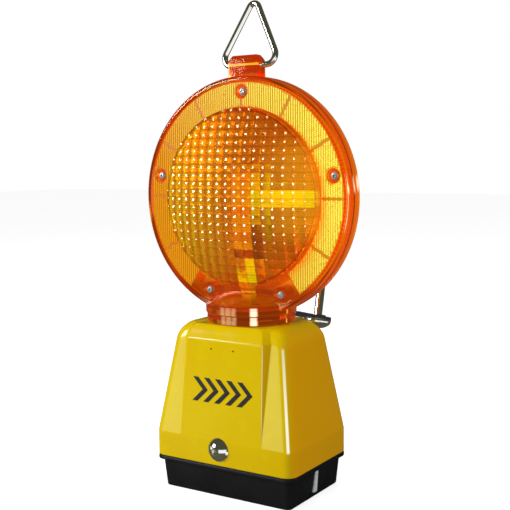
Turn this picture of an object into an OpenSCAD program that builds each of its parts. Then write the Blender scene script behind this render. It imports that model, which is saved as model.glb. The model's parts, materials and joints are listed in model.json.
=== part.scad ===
// Battery-operated warning lamp for a road-works barrier.
// Frame: millimetres, +Z up, front of the lamp towards -Y.
// Origin: centre of the flat underside of the battery tray.

/* [Tray and cover] */
// Width of the cover and tray at the joint line
base_w = 136.5; // [134:0.5:138]
// Depth of the cover and tray at the joint line
base_d = 95.4; // [95:0.2:97]
// Height of the joint line between tray and cover
joint_z = 27.5; // [27:0.5:28]
// Height at which the cover walls start to lean in
skirt_z = 50; // [49:0.5:52]
// Width of the cover where the roof starts
shoulder_w = 113; // [112:0.5:115]
// Depth of the cover corners where the roof starts
shoulder_d = 70.6; // [70:0.2:72]
// Height of the shoulder below the roof
shoulder_z = 128; // [127:0.5:129]
// Wall thickness of the moulded shells
wall = 3; // [3:0.1:3.2]

/* [Head] */
// Outer radius of the lamp head
head_r = 100; // [99.5:0.5:100.5]
// Height of the centre of the lamp head
head_z = 247.5; // [247:0.5:248]
// Seam plane of the head, measured forwards or back from the origin
head_y = -1.5; // [-1.5:0.5:-1]
// Half thickness of the head at its rim
rim_t = 10; // [9.8:0.1:10.4]
// Radius of the wall of the projecting lens
lens_r = 73.5; // [73:0.1:73.6]
// Radius on which the head screws lie
screw_ring_r = 87.2; // [87:0.1:87.4]

/* [Neck] */
// Distance of the swivel axis behind the origin
neck_y = 2; // [2:0.5:2.5]
// Outer radius of the neck
neck_r = 38.5; // [38.3:0.1:38.7]
// Height at which the neck starts to blend into the head
neck_top_z = 158.5; // [158.5:0.1:158.8]

/* [Bail] */
// Diameter of the bail wire
bail_d = 5; // [4.6:0.1:5.2]
// Width of the bail triangle, from corner to corner of the wire's centre line
bail_w = 59.5; // [59.5:0.5:61]
// Height of the bail triangle, from corner to corner of the wire's centre line
bail_h = 58; // [57:0.5:60]
// Lean of the hanging bail towards the back, in degrees
bail_lean = 10; // [0:1:12]

/* [Lock and mounting bolt] */
// Sideways place of the lock
lock_x = -2; // [-3:0.5:-1]
// Height of the lock
lock_z = 41.8; // [41.5:0.1:42]
// Radius of the lock dome
lock_r = 10.2; // [9.8:0.1:10.4]
// Shank diameter of the mounting bolt
bolt_d = 8; // [7.5:0.1:8.2]
// Distance of the mounting bolt behind the origin
bolt_y = 118.5; // [116:0.5:120]
// Free shank length above the strap
bolt_len = 68; // [60:1:75]
// Downward bend of the strap behind the cover, in degrees
strap_bend = 13.5; // [13:0.5:14]

/* [Battery] */
// Side of the square battery
batt_w = 67; // [66:0.5:67]
// Height of the battery body without its lid
batt_h = 97; // [96:0.5:97]

/* [Hidden] */

$fn = 96;
eps = 0.01;
run_gap = 0.08;      // radial clearance of a running fit
seat_gap = 0.2;      // clearance between fixed neighbours
seal_gap = 0.05;     // clearance around the head seal
roof_z = 143;        // height of the flat roof
base_r = 9;          // plan corner radius of cover and flange
shoulder_r = 10;     // plan corner radius at the shoulder
flange_t = 3;        // thickness of the tray flange
tray_w = 124;        // tray width at the ground
tray_d = 82;         // tray depth at the ground
tray_top_w = 129.5;  // tray width under the flange
tray_top_d = 87.5;   // tray depth under the flange
upstand_z = 36;      // top of the tray upstand
upstand_t = 2.5;     // thickness of the tray upstand
panel_w = 80;        // width of the proud front panel at the skirt
panel_top_w = 73.6;  // width of the proud front panel at its top
panel_top_d = 81;    // depth across both panels at their top
panel_top_z = 131.5; // height of the panel top
lens_rise = 11;      // rise of the lens cap above its wall
lens_wall = 7;       // height of the lens wall above the face
lens_t = 2.5;        // lens thickness
face_t = rim_t - 1;  // height of the face ring above the seam
face_in = face_t - 2.5;
lip_r = 95;          // inner radius of the raised rim lip
cavity_r = 97;       // inner radius of the head
lens_hole_r = lens_r + seat_gap;
lens_flange_r = 78.4;
screw_angles = [90, 12, 168, 246, 294];
screw_head_t = 5.5;  // height of the screw seat above the seam
screw_r = 2;         // radius of the head screws
boss_r = 6.6;
counterbore_r = 5.6;
insert_r = 3;
refl_r0 = 76.6;
refl_r1 = 94.8;
refl_t = 1;
refl_start = -55;    // the reflector runs from here anticlockwise
refl_sweep = 290;
neck_z = 144;        // underside of the neck
neck_in_r = neck_r - wall;
blend_h = 10;        // height of the blend above neck_top_z
blend_r = 12.5;      // radius at which the blend reaches its crown
blend_pow = 1.7;
core_r = 27;         // turret radius inside the neck lip
turret_r = 33;
spigot_r = 22;
lip_z0 = 147.3;
lip_z1 = 151.7;
turret_low_z = lip_z0 - 0.5;
turret_high_z = lip_z1 + 0.5;
turret_top_z = 155.5;
strap_t = 3;
strap_w = 26;
strap_ring_r = 31;
strap_z = roof_z - strap_t;
gasket_t = 1;
recess_z = strap_z - gasket_t;
boss_z = 134.5;      // underside of the roof boss
spigot_z = 128;
bend_y = 60.5;       // where the strap bends down
bolt_head_r = 13;
bolt_head_h = 8.5;
clip_z = 0.1;        // underside of the retaining clip above the strap
clip_t = 1.4;
clip_depth = 0.6;    // depth of the clip groove in the shank
board_z = 121.6;
board_t = 1.6;
board_w = 84;
board_d = 50;
stud_x = 36;
stud_y = 18;
stud_r = 3.6;
board_screw_r = 1.25;
lead_room = 3;       // radius of the openings for the supply lead
bail_z = 356;        // height of the bail hinge line
bail_shift = 2.4;    // the bail rests a little to the right in its loop
foot_bend = 8;       // wire centre radius at the lower corners
apex_bend = 4.8;     // wire centre radius at the apex
loop_w = 28.6;
loop_t = 12;
loop_top_z = 364.5;
loop_root_z = head_z + head_r - 2.5; // the loop grows out of the rim
port_x = [-12.2, 9.6];
port_z = 124;
port_part_y = -36.6;  // front of the parts behind the two ports
batt_y = 2;
batt_z = 3.2;
lid_h = 5;
spring_h = 11.4;
spring_offset = 21;   // the second spring stands in a corner of the battery
rib_t = 2.4;          // cradle ribs on both sides of the battery foot
rib_l = 50;
rib_h = 18;
post_w = 9.4;         // width of the post under the light source
post_d = 7.6;         // depth of that post
post_top_z = 196;
post_flange_r = 31;
lead_r = 2;
lead_hole_r = 2.6;
lead_z0 = 150.2;      // the two leads meet here on the swivel axis
lead_bend_z = 16;     // height of the opening in the post for the lead
lead_slant_h = 7;     // height of the slanted run of the lead
holder_w = 18;        // carrier of the light source
holder_d = 13.5;
holder_h = 30;
strip_w = 20;         // upright strips that carry the lights
strip_h = 66;
strip_t = 1.6;
strip_z = 205;
front_strip_y = head_y - 7.7;
rear_strip_y = head_y + 9.6;
led_x = [-5, 5];
led_z = [215, 235, 262];
led_r = 2.5;
decal_pitch = 11;     // spacing of the printed chevrons
decal_bar = 5;
decal_h = 20;
decal_rise = 30;      // height of the chevrons above the skirt, along the panel
decal_t = 0.3;
keeper_x = lock_x + 13.5;
keeper_y = -41.4;
keeper_t = 2;
hook_z = lock_z + 5.3;  // underside of the hook above the turned cam
hook_t = 4;
keeper_rivet_x = [keeper_x + 2.6, keeper_x + 7.4];
keeper_rivet_z = 32;
rivet_r = 1.5;
lock_shank_r = 6;
cam_screw_r = 3;

// ---------- helpers ----------

// Rounded rectangle made of true arcs
module rounded(w, d, r) {
    square([w - 2 * r, d], center = true);
    square([w, d - 2 * r], center = true);
    for (sx = [-1, 1], sy = [-1, 1])
        translate([sx * (w / 2 - r), sy * (d / 2 - r)]) circle(r);
}

// Upright prism with rounded corners
module prism(w, d, r, h) {
    linear_extrude(h) rounded(w, d, r);
}

// Thin slab used as one station of a loft
module station(w, d, r, z) {
    translate([0, 0, z - eps])
        linear_extrude(eps) union() {
            square([w - 2 * r, d], center = true);
            square([w, d - 2 * r], center = true);
            for (sx = [-1, 1], sy = [-1, 1])
                translate([sx * (w / 2 - r), sy * (d / 2 - r)]) circle(r, $fn = 32);
        }
}

// Head frame, front half: local z points forwards from the seam
module to_front() {
    translate([0, head_y, head_z]) rotate([90, 0, 0]) children();
}

// Head frame, rear half: local z points backwards from the seam
module to_rear() {
    translate([0, head_y, head_z]) mirror([0, 1, 0]) rotate([90, 0, 0]) children();
}

// The four studs that hold the circuit board
module at_studs() {
    for (sx = [-1, 1], sy = [-1, 1])
        translate([sx * stud_x, sy * stud_y, 0]) children();
}

module at_screws() {
    for (a = screw_angles)
        translate([screw_ring_r * cos(a), screw_ring_r * sin(a), 0]) children();
}

// ---------- tray and battery ----------

module tray_body() {
    hull() {
        station(tray_w, tray_d, 4, eps);
        station(tray_top_w, tray_top_d, 7, joint_z - flange_t);
    }
}

module tray_hollow() {
    hull() {
        station(tray_w - 2 * wall, tray_d - 2 * wall, 3, wall);
        station(tray_top_w - 2 * wall, tray_top_d - 2 * wall, 5, joint_z + eps);
    }
}

// Ribs in the tray that hold the battery foot sideways
module cradle_ribs() {
    for (sx = [-1, 1])
        translate([sx * (batt_w / 2 + 0.5 + rib_t / 2), batt_y, 1 + rib_h / 2])
            cube([rib_t, rib_l, rib_h], center = true);
}

module battery_tray() {
    up_w = base_w - 2 * wall - 1;
    up_d = base_d - 2 * wall - 1;
    color([0.05, 0.05, 0.05])
    difference() {
        union() {
            tray_body();
            translate([0, 0, joint_z - flange_t]) prism(base_w, base_d, base_r, flange_t);
            difference() {
                translate([0, 0, joint_z - eps]) prism(up_w, up_d, 5.5, upstand_z - joint_z);
                translate([0, 0, joint_z - 1])
                    prism(up_w - 2 * upstand_t, up_d - 2 * upstand_t, 3, upstand_z);
            }
        }
        difference() {
            tray_hollow();
            cradle_ribs();
        }
        // notch in the upstand for the lock
        translate([lock_x - 14, -base_d, joint_z + 1.5]) cube([25, base_d - 35, 30]);
        keeper_holes();
        // pockets for the side clips
        for (sx = [-1, 1]) side_clip_shape(sx, 0.1);
    }
}

module tray_seal() {
    color([0.12, 0.12, 0.12])
    translate([0, 0, joint_z])
    difference() {
        prism(base_w - 0.6, base_d - 0.6, base_r - 0.3, 1);
        translate([0, 0, -1]) prism(base_w - 2 * wall - 0.6, base_d - 2 * wall - 0.6, 5.7, 3);
    }
}

// Wedge-shaped steel clip in the side wall of the tray
module side_clip_shape(side, grow) {
    mirror([side < 0 ? 1 : 0, 0, 0])
    translate([0, 1 + grow, 0])
    rotate([90, 0, 0])
    linear_extrude(9 + 2 * grow)
        polygon([[tray_w / 2 - 1.4 - grow, 4.6 - grow], [tray_w / 2 + 1.7, 4.6 - grow],
                 [tray_top_w / 2 + 0.3, 22.6 + grow], [tray_top_w / 2 - 1.6 - grow, 22.6 + grow]]);
}

module side_clips() {
    color([0.8, 0.82, 0.82])
    for (sx = [-1, 1])
        difference() {
            side_clip_shape(sx, 0);
            // the front edge slants, so the clip is a wedge
            translate([sx * tray_w / 2, -8.2, 22.8]) rotate([-14, 0, 0])
                cube([12, 6, 60], center = true);
        }
}

// Rivet holes through the upstand and the keeper
module keeper_holes() {
    for (x = keeper_rivet_x)
        translate([x, -50, keeper_rivet_z]) rotate([-90, 0, 0]) cylinder(h = 14, r = rivet_r + 0.1);
}

// Steel hook that the lock cam turns under
module lock_keeper() {
    color([0.7, 0.7, 0.72])
    difference() {
        union() {
            translate([keeper_x, keeper_y, joint_z + 1]) cube([10, keeper_t, hook_z + hook_t - joint_z - 1]);
            translate([lock_x + 8, keeper_y, hook_z]) cube([keeper_x + 2 - lock_x, 5.4, hook_t]);
        }
        keeper_holes();
    }
}

module keeper_rivets() {
    color([0.75, 0.75, 0.75])
    for (x = keeper_rivet_x)
        translate([x, keeper_y + keeper_t, keeper_rivet_z]) rotate([90, 0, 0]) {
            cylinder(h = 4.7, r = rivet_r);
            translate([0, 0, -1]) cylinder(h = 1, r1 = 1.8, r2 = 2.4);
        }
}

module battery_case() {
    color([0.15, 0.3, 0.55])
    translate([0, batt_y, batt_z]) prism(batt_w, batt_w, 4, batt_h);
}

module battery_lid() {
    color([0.1, 0.1, 0.1])
    translate([0, batt_y, batt_z + batt_h]) {
        prism(batt_w - 0.4, batt_w - 0.4, 4, lid_h - 2);
        translate([0, 0, lid_h - 2 - eps]) prism(batt_w - 6, batt_w - 6, 3, 2 + eps);
    }
}

// Conical contact spring as a stack of touching turns
module contact_spring() {
    turns = 7;
    pitch = 1.6;
    wire_r = 0.9;
    for (i = [0 : turns - 1])
        translate([0, 0, wire_r + i * pitch])
            rotate_extrude($fn = 48) translate([8 - i * 0.7, 0]) circle(wire_r, $fn = 16);
}

module battery_springs() {
    color([0.85, 0.75, 0.4])
    translate([0, batt_y, batt_z + batt_h + lid_h]) {
        contact_spring();
        translate([spring_offset, spring_offset, 0]) contact_spring();
    }
}

// ---------- cover ----------

// Section of the cover body, inset by dw and dd from its shoulder size
module body_section(dw, dd, z, off) {
    station(shoulder_w - dw - 2 * off, shoulder_d - dd - 2 * off, shoulder_r - off * 0.7, z);
}

// Section of the proud panels, inset by dw and dd from their size at the top
module panel_section(dw, dd, z, off) {
    station(panel_top_w - dw - 2 * off, panel_top_d - dd - 2 * off, 2, z);
}

// Closed outer form of the cover, shrunk by off on every face
module cover_form(off) {
    skirt_low = off > 0 ? 5 : -1;
    union() {
        translate([0, 0, joint_z - skirt_low])
            prism(base_w - 2 * off, base_d - 2 * off, base_r - off * 0.9, skirt_z - joint_z + skirt_low);
        hull() {
            station(base_w - 2 * off, base_d - 2 * off, base_r - off * 0.9, skirt_z);
            body_section(0, 0, shoulder_z - off / 2, off);
            body_section(5, 3, roof_z - 8 - off, off);
            body_section(15, 9, roof_z - 2.6 - off, off);
            body_section(29, 16, roof_z - off, off);
        }
        hull() {
            station(panel_w - 2 * off, base_d - 2 * off, 2, skirt_z);
            panel_section(0, 0, panel_top_z - off / 2, off);
            panel_section(2, 3, panel_top_z + 3 - off / 2, off);
            panel_section(8, 12, roof_z - off, off);
        }
    }
}

module cover() {
    color([0.95, 0.78, 0.05])
    difference() {
        union() {
            difference() {
                cover_form(0);
                cover_form(wall);
            }
            translate([0, neck_y, boss_z]) cylinder(h = roof_z - boss_z - 1, r = neck_in_r - 0.5);
            at_studs() translate([0, 0, board_z + board_t]) cylinder(h = 17.5, r = stud_r);
        }
        // seat for the strap ring and its gasket
        translate([0, neck_y, recess_z]) cylinder(h = 20, r = strap_ring_r + seat_gap);
        translate([-strap_w / 2 - seat_gap, 15, recess_z]) cube([strap_w + 2 * seat_gap, 40, 20]);
        translate([0, neck_y, boss_z - 5]) cylinder(h = 30, r = spigot_r + seat_gap);
        // lock hole
        translate([lock_x, -base_d / 2 - 5, lock_z]) rotate([-90, 0, 0])
            cylinder(h = 12, r = lock_shank_r + run_gap);
        // two small ports for the light sensor and the test lamp
        for (x = port_x)
            translate([x, -base_d / 2, port_z]) rotate([-90, 0, 0]) cylinder(h = 14, r = 0.8);
        at_studs() translate([0, 0, board_z - 1]) cylinder(h = 13, r = board_screw_r + 0.05);
    }
}

// One printed chevron, its point towards +X
module chevron() {
    half = decal_h / 2;
    polygon([[-decal_bar, 0], [0, 0], [half, half],
             [0, decal_h], [-decal_bar, decal_h], [half - decal_bar, half]]);
}

module front_decal() {
    lean = atan((base_d - panel_top_d) / 2 / (panel_top_z - skirt_z));
    color([0.08, 0.08, 0.08])
    translate([0, -base_d / 2, skirt_z]) rotate([-lean, 0, 0])
    translate([lock_x, -0.02, decal_rise]) rotate([90, 0, 0])
        for (i = [-2 : 2])
            translate([i * decal_pitch, 0, 0]) linear_extrude(decal_t) chevron();
}

module lock_bush() {
    color([0.75, 0.75, 0.77])
    translate([lock_x, -base_d / 2 + wall, lock_z]) rotate([-90, 0, 0])
    difference() {
        cylinder(h = 3, r = 8);
        translate([0, 0, -1]) cylinder(h = 5, r = lock_shank_r + run_gap);
    }
}

// ---------- lock ----------

module lock_screw() {
    dome_h = 6;
    sphere_r = (lock_r * lock_r + dome_h * dome_h) / (2 * dome_h);
    color([0.85, 0.85, 0.87])
    translate([lock_x, -base_d / 2, lock_z]) rotate([90, 0, 0])
    union() {
        difference() {
            intersection() {
                translate([0, 0, dome_h - sphere_r]) sphere(sphere_r);
                translate([0, 0, 0.1]) cylinder(h = 10, r = lock_r);
            }
            translate([0, 0, dome_h - 4]) cylinder(h = 6, r = 3);
        }
        translate([0, 0, 1]) cylinder(h = dome_h - 2.2, r = 1.9, $fn = 3);
        translate([0, 0, -9.2]) cylinder(h = 10, r = lock_shank_r);
        translate([0, 0, -14]) cylinder(h = 5, r = cam_screw_r);
    }
}

module lock_cam() {
    color([0.72, 0.72, 0.74])
    translate([lock_x, -base_d / 2 + 9.3, lock_z]) rotate([-90, 0, 0])
    difference() {
        union() {
            cylinder(h = 2, r = 5.5);
            translate([-4, 0, 0]) cube([8, 14, 2]);
        }
        translate([0, 0, -1]) cylinder(h = 4, r = cam_screw_r + 0.05);
    }
}

module cam_nut() {
    color([0.8, 0.8, 0.82])
    translate([lock_x, -base_d / 2 + 11.4, lock_z]) rotate([-90, 0, 0])
    difference() {
        cylinder(h = 2.5, r = 5.2, $fn = 6);
        translate([0, 0, -1]) cylinder(h = 5, r = cam_screw_r + 0.05);
    }
}

// ---------- neck turret, strap and bolt ----------

module swivel_turret() {
    color([0.2, 0.2, 0.2])
    translate([0, neck_y, 0])
    rotate_extrude()
        polygon([[15, spigot_z], [spigot_r, spigot_z], [spigot_r, roof_z], [turret_r, roof_z],
                 [turret_r, turret_low_z], [core_r, turret_low_z], [core_r, turret_high_z],
                 [turret_r, turret_high_z], [turret_r, turret_top_z], [15, turret_top_z]]);
}

module strap_gasket() {
    color([0.1, 0.1, 0.1])
    translate([0, neck_y, recess_z])
    difference() {
        cylinder(h = gasket_t, r = strap_ring_r);
        translate([0, 0, -1]) cylinder(h = 3, r = spigot_r + seat_gap);
    }
}

module turret_nut() {
    nut_h = boss_z - spigot_z - 0.5;
    color([0.25, 0.25, 0.25])
    translate([0, neck_y, spigot_z + 0.5])
    difference() {
        union() {
            cylinder(h = nut_h, r = 28);
            for (i = [0 : 7])
                rotate(i * 45) translate([27, -2, 0]) cube([3.4, 4, nut_h]);
        }
        translate([0, 0, -1]) cylinder(h = 12, r = spigot_r + 0.05);
    }
}

// Frame of the sloping strap end: origin on the strap top at the bend
module on_slope() {
    translate([0, bend_y, roof_z]) rotate([-strap_bend, 0, 0]) children();
}

slope_len = (bolt_y - bend_y) / cos(strap_bend);

module mounting_strap() {
    color([0.45, 0.45, 0.45])
    difference() {
        union() {
            translate([0, neck_y, strap_z]) cylinder(h = strap_t, r = strap_ring_r);
            translate([-strap_w / 2, neck_y, strap_z]) cube([strap_w, bend_y - neck_y, strap_t]);
            on_slope() {
                translate([-strap_w / 2, -0.3, -strap_t]) cube([strap_w, slope_len + 0.3, strap_t]);
                translate([0, slope_len, -strap_t]) cylinder(h = strap_t, r = strap_w / 2);
            }
        }
        translate([0, neck_y, strap_z - 1]) cylinder(h = strap_t + 2, r = spigot_r + seat_gap);
        on_slope() translate([0, slope_len, -strap_t - 5])
            cylinder(h = strap_t + 10, r = bolt_d / 2 + run_gap);
    }
}

// Outline of the domed bolt head, its flat side upwards
function bolt_head_points(r, h, edge = 1.5) =
    concat([[0, 0], [r, 0]],
           [for (a = [0 : 10 : 90]) [(r - 1) * cos(a) + 1 - a / 90, edge + (h - edge) * sin(a)]]);

module mounting_bolt() {
    shank_z0 = -strap_t - 0.2;
    color([0.85, 0.85, 0.87])
    on_slope() translate([0, slope_len, 0]) {
        translate([0, 0, -strap_t - 0.1]) mirror([0, 0, 1])
            rotate_extrude() polygon(bolt_head_points(bolt_head_r, bolt_head_h));
        difference() {
            translate([0, 0, shank_z0]) cylinder(h = bolt_len - 1 - shank_z0, r = bolt_d / 2);
            translate([0, 0, clip_z - 0.05]) clip_ring(bolt_d / 2 + 2, clip_t + 0.3);
        }
        translate([0, 0, bolt_len - 1 - eps]) cylinder(h = 1, r1 = bolt_d / 2, r2 = bolt_d / 2 - 1);
    }
}

// Flat ring that fits the groove of the shank
module clip_ring(r, h) {
    difference() {
        cylinder(h = h, r = r);
        translate([0, 0, -1]) cylinder(h = h + 2, r = bolt_d / 2 - clip_depth);
    }
}

module bolt_retainer() {
    color([0.7, 0.7, 0.72])
    on_slope() translate([0, slope_len, clip_z])
    difference() {
        cylinder(h = clip_t, r = 7.5);
        translate([0, 0, -1]) cylinder(h = clip_t + 2, r = bolt_d / 2 - clip_depth + 0.03);
    }
}

// ---------- electronics ----------

module circuit_board() {
    color([0.1, 0.4, 0.2])
    difference() {
        translate([0, 0, board_z]) prism(board_w, board_d, 3, board_t);
        at_studs() translate([0, 0, board_z - 1]) cylinder(h = 4, r = 1.6);
        translate([0, neck_y, board_z - 1]) cylinder(h = 4, r = lead_room);
    }
}

module board_screws() {
    color([0.8, 0.8, 0.82])
    at_studs() translate([0, 0, board_z]) {
        translate([0, 0, -2]) cylinder(h = 2, r = 2.8);
        translate([0, 0, -eps]) cylinder(h = 9, r = board_screw_r);
    }
}

module driver_parts() {
    top = board_z + board_t;
    color([0.08, 0.08, 0.1]) {
        translate([12, -14, top]) cube([10, 7, 2]);
        translate([-20, -14, top]) cube([8, 6, 2]);
        translate([-37, 0, top]) cylinder(h = 10, r = 4);
        translate([37, 2, top]) cylinder(h = 9, r = 3.2);
    }
}

module contact_carrier() {
    color([0.85, 0.85, 0.8])
    difference() {
        translate([-14, -12, board_z - 4]) cube([46, 46, 4]);
        translate([0, neck_y, board_z - 5]) cylinder(h = 6, r = lead_room);
        translate([20, -13, board_z - 5]) cube([20, 15, 6]);
        translate([stud_x, stud_y, board_z - 5]) cylinder(h = 6, r = 5);
    }
}

module contact_plates() {
    plate_z = batt_z + batt_h + lid_h + spring_h + 0.1;
    color([0.85, 0.7, 0.3]) {
        translate([-9, batt_y - 9, plate_z]) cube([18, 18, 0.6]);
        translate([13, batt_y + 13, plate_z]) cube([16, 16, 0.6]);
    }
}

// Round component looking out of a port in the front panel
module port_part(x, r, dome) {
    translate([x, port_part_y, port_z]) rotate([-90, 0, 0]) {
        cylinder(h = 5, r = r);
        translate([0, 0, 5 - eps]) cylinder(h = 1, r = r + 0.6);
        for (sx = [-1, 1])
            translate([sx * 1.27, 0, 6 - 2 * eps]) cylinder(h = 6.5, r = 0.3);
    }
    if (dome) translate([x, port_part_y, port_z]) sphere(r - 0.1);
}

module photocell() {
    color([0.6, 0.3, 0.25]) port_part(port_x[0], 2.4, false);
}

module test_lamp() {
    color([0.8, 0.1, 0.1]) port_part(port_x[1], 1.5, true);
}

module mode_switch() {
    color([0.15, 0.15, 0.17])
    difference() {
        translate([24, -11, board_z - 5]) cube([14, 7, 5]);
        translate([26, -9.1, board_z - 6]) cube([10, 3.2, 4]);
    }
}

module mode_slider() {
    color([0.9, 0.9, 0.9])
    translate([27, -9, board_z - 7.5]) cube([3, 3, 5.2]);
}

module supply_lead() {
    color([0.1, 0.1, 0.1])
    translate([0, neck_y, 0]) {
        translate([0, 0, board_z + board_t]) cylinder(h = 150 - board_z - board_t, r = lead_r);
        translate([0, 0, board_z - 2]) cylinder(h = board_t + 2.1, r = 2.6);
    }
}

// ---------- lamp head ----------

// Outline of the neck blend from radius r0 down to its crown
function blend_points(r0, z0, steps = 14) =
    [for (i = [0 : steps])
        let (s = 1 - i / steps)
        [blend_r + (r0 - blend_r) * s, z0 + blend_h * (1 - pow(s, blend_pow))]];

module neck_outer() {
    translate([0, neck_y, 0]) rotate_extrude()
        polygon(concat([[0, neck_z], [neck_r - 1, neck_z], [neck_r - 1, lip_z1 - 1], [neck_r, lip_z1]],
                       blend_points(neck_r, neck_top_z), [[0, neck_top_z + blend_h]]));
}

module neck_inner() {
    translate([0, neck_y, 0]) rotate_extrude()
        polygon(concat([[0, neck_z - 1], [neck_in_r, neck_z - 1]],
                       blend_points(neck_in_r, neck_top_z - wall),
                       [[0, neck_top_z - wall + blend_h]]));
}

module neck_lip() {
    translate([0, neck_y, 0])
    difference() {
        translate([0, 0, lip_z0]) cylinder(h = lip_z1 - lip_z0, r = neck_in_r + 0.5);
        translate([0, 0, lip_z0 - 1]) cylinder(h = 10, r = core_r + run_gap);
    }
}

// Half space in front of (side -1) or behind (side 1) the seam
module half_space(side) {
    y0 = side < 0 ? head_y - 200 : head_y;
    translate([-200, y0, 100]) cube([400, 200, 400]);
}

module loop_block() {
    difference() {
        translate([0, head_y, 0]) intersection() {
            translate([-loop_w / 2, -loop_t / 2, loop_root_z])
                cube([loop_w, loop_t, loop_top_z - loop_root_z]);
            translate([-loop_w / 2, 0, bail_z - 4]) rotate([0, 90, 0])
                cylinder(h = loop_w, r = loop_top_z - bail_z + 4);
        }
        translate([-loop_w, head_y, bail_z]) rotate([0, 90, 0])
            cylinder(h = 2 * loop_w, r = bail_d / 2 + run_gap);
        // bevelled upper corners
        for (sx = [-1, 1])
            translate([sx * (loop_w / 2 + 1), head_y, loop_top_z + 1]) rotate([0, 45, 0])
                cube([7, 30, 7], center = true);
    }
}

// Raised pocket of the reflector, local head frame
module reflector_sector(r0, r1, h) {
    rotate(refl_start) rotate_extrude(angle = refl_sweep)
        translate([r0, face_t - refl_t]) square([r1 - r0, h]);
}

module seal_groove(grow) {
    difference() {
        rotate_extrude() translate([cavity_r + 0.9 - grow, -0.6 - grow])
            square([1.2 + 2 * grow, 1.2 + 2 * grow]);
        translate([0, -head_z + neck_top_z - 10, 0]) cube([2 * neck_r + 2, 50, 60], center = true);
    }
}

// Disc part of one shell, local head frame
module disc_outer() {
    edge = 2.4;
    rotate_extrude()
        polygon(concat([[0, 0], [head_r, 0]],
            [for (a = [0 : 15 : 90]) [head_r - edge + edge * cos(a), rim_t - edge + edge * sin(a)]],
            [[lip_r, rim_t], [lip_r, face_t], [0, face_t]]));
}

module disc_bosses() {
    at_screws() cylinder(h = face_t, r = boss_r);
}

module disc_cuts() {
    difference() {
        union() {
            translate([0, 0, -1]) cylinder(h = face_in + 1, r = cavity_r);
            translate([0, 0, -1]) cylinder(h = 20, r = lens_hole_r);
        }
        disc_bosses();
    }
    reflector_sector(refl_r0 - 0.1, refl_r1 + 0.1, 5);
}

module front_shell() {
    color([0.95, 0.45, 0.05])
    intersection() {
        union() {
            difference() {
                union() {
                    to_front() disc_outer();
                    neck_outer();
                }
                to_front() disc_cuts();
                neck_inner();
                to_front() at_screws() {
                    translate([0, 0, screw_head_t]) cylinder(h = 10, r = counterbore_r);
                    translate([0, 0, -1]) cylinder(h = 10, r = screw_r + 0.1);
                }
                to_front() seal_groove(seal_gap);
            }
            neck_lip();
            difference() {
                loop_block();
                to_front() seal_groove(seal_gap);
            }
        }
        half_space(-1);
    }
}

module rear_shell() {
    color([0.9, 0.4, 0.05])
    intersection() {
        union() {
            difference() {
                union() {
                    to_rear() disc_outer();
                    neck_outer();
                }
                to_rear() disc_cuts();
                neck_inner();
                to_rear() seal_groove(seal_gap);
                to_rear() at_screws()
                    translate([0, 0, -1]) cylinder(h = 8.5, r = insert_r + 0.02);
            }
            neck_lip();
            difference() {
                loop_block();
                to_rear() seal_groove(seal_gap);
            }
        }
        half_space(1);
    }
}

// Lens: flange behind the face ring, straight wall and shallow cap
module lens_solid() {
    wall_top = face_t + lens_wall;
    cap_r = (lens_r * lens_r + lens_rise * lens_rise) / (2 * lens_rise);
    in_r = lens_r - lens_t;
    cap_in = cap_r - lens_t;
    cap_c = wall_top + lens_rise - cap_r;
    a_out = asin(lens_r / cap_r);
    a_in = asin(in_r / cap_in);
    steps = 10;
    difference() {
        rotate_extrude()
            polygon(concat(
                [[in_r, face_in - 2.4], [lens_flange_r, face_in - 2.4], [lens_flange_r, face_in - 0.1],
                 [lens_r, face_in - 0.1]],
                [for (i = [0 : steps])
                    let (a = a_out * (1 - i / steps))
                    [cap_r * sin(a), cap_c + cap_r * cos(a)]],
                [for (i = [0 : steps])
                    let (a = a_in * i / steps)
                    [cap_in * sin(a), cap_c + cap_in * cos(a)]]));
        at_screws() translate([0, 0, -5]) cylinder(h = 40, r = boss_r + 0.2);
    }
}

module front_lens() {
    color([1, 0.6, 0.05, 0.7]) to_front() lens_solid();
}

module rear_lens() {
    color([1, 0.6, 0.05, 0.7]) to_rear() lens_solid();
}

module reflector_ring() {
    difference() {
        reflector_sector(refl_r0, refl_r1, refl_t);
        at_screws() cylinder(h = 30, r = counterbore_r + 0.4);
        // the neck blend cuts the ring ends clear
        translate([0, -head_z + neck_top_z - 20, 0]) cube([2 * neck_r, 60, 60], center = true);
    }
}

module front_reflector() {
    color([1, 0.8, 0.05]) to_front() reflector_ring();
}

module rear_reflector() {
    color([1, 0.8, 0.05]) to_rear() reflector_ring();
}

module head_seal() {
    color([0.15, 0.1, 0.05]) to_front() seal_groove(0);
}

module head_screws() {
    color([0.8, 0.8, 0.82])
    to_front() at_screws()
    difference() {
        union() {
            translate([0, 0, screw_head_t + 0.05]) cylinder(h = 1.6, r = 3.6);
            translate([0, 0, screw_head_t + 1.6]) cylinder(h = 0.8, r1 = 3.6, r2 = 2.4);
            translate([0, 0, -6.5]) cylinder(h = screw_head_t + 7, r = screw_r);
        }
        for (a = [0, 90])
            rotate(a) translate([-2.2, -0.4, screw_head_t + 1.1]) cube([4.4, 0.8, 3]);
    }
}

module screw_inserts() {
    color([0.8, 0.65, 0.3])
    to_rear() at_screws()
    difference() {
        cylinder(h = 7.4, r = insert_r);
        translate([0, 0, -1]) cylinder(h = 10, r = screw_r + 0.04);
    }
}

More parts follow.
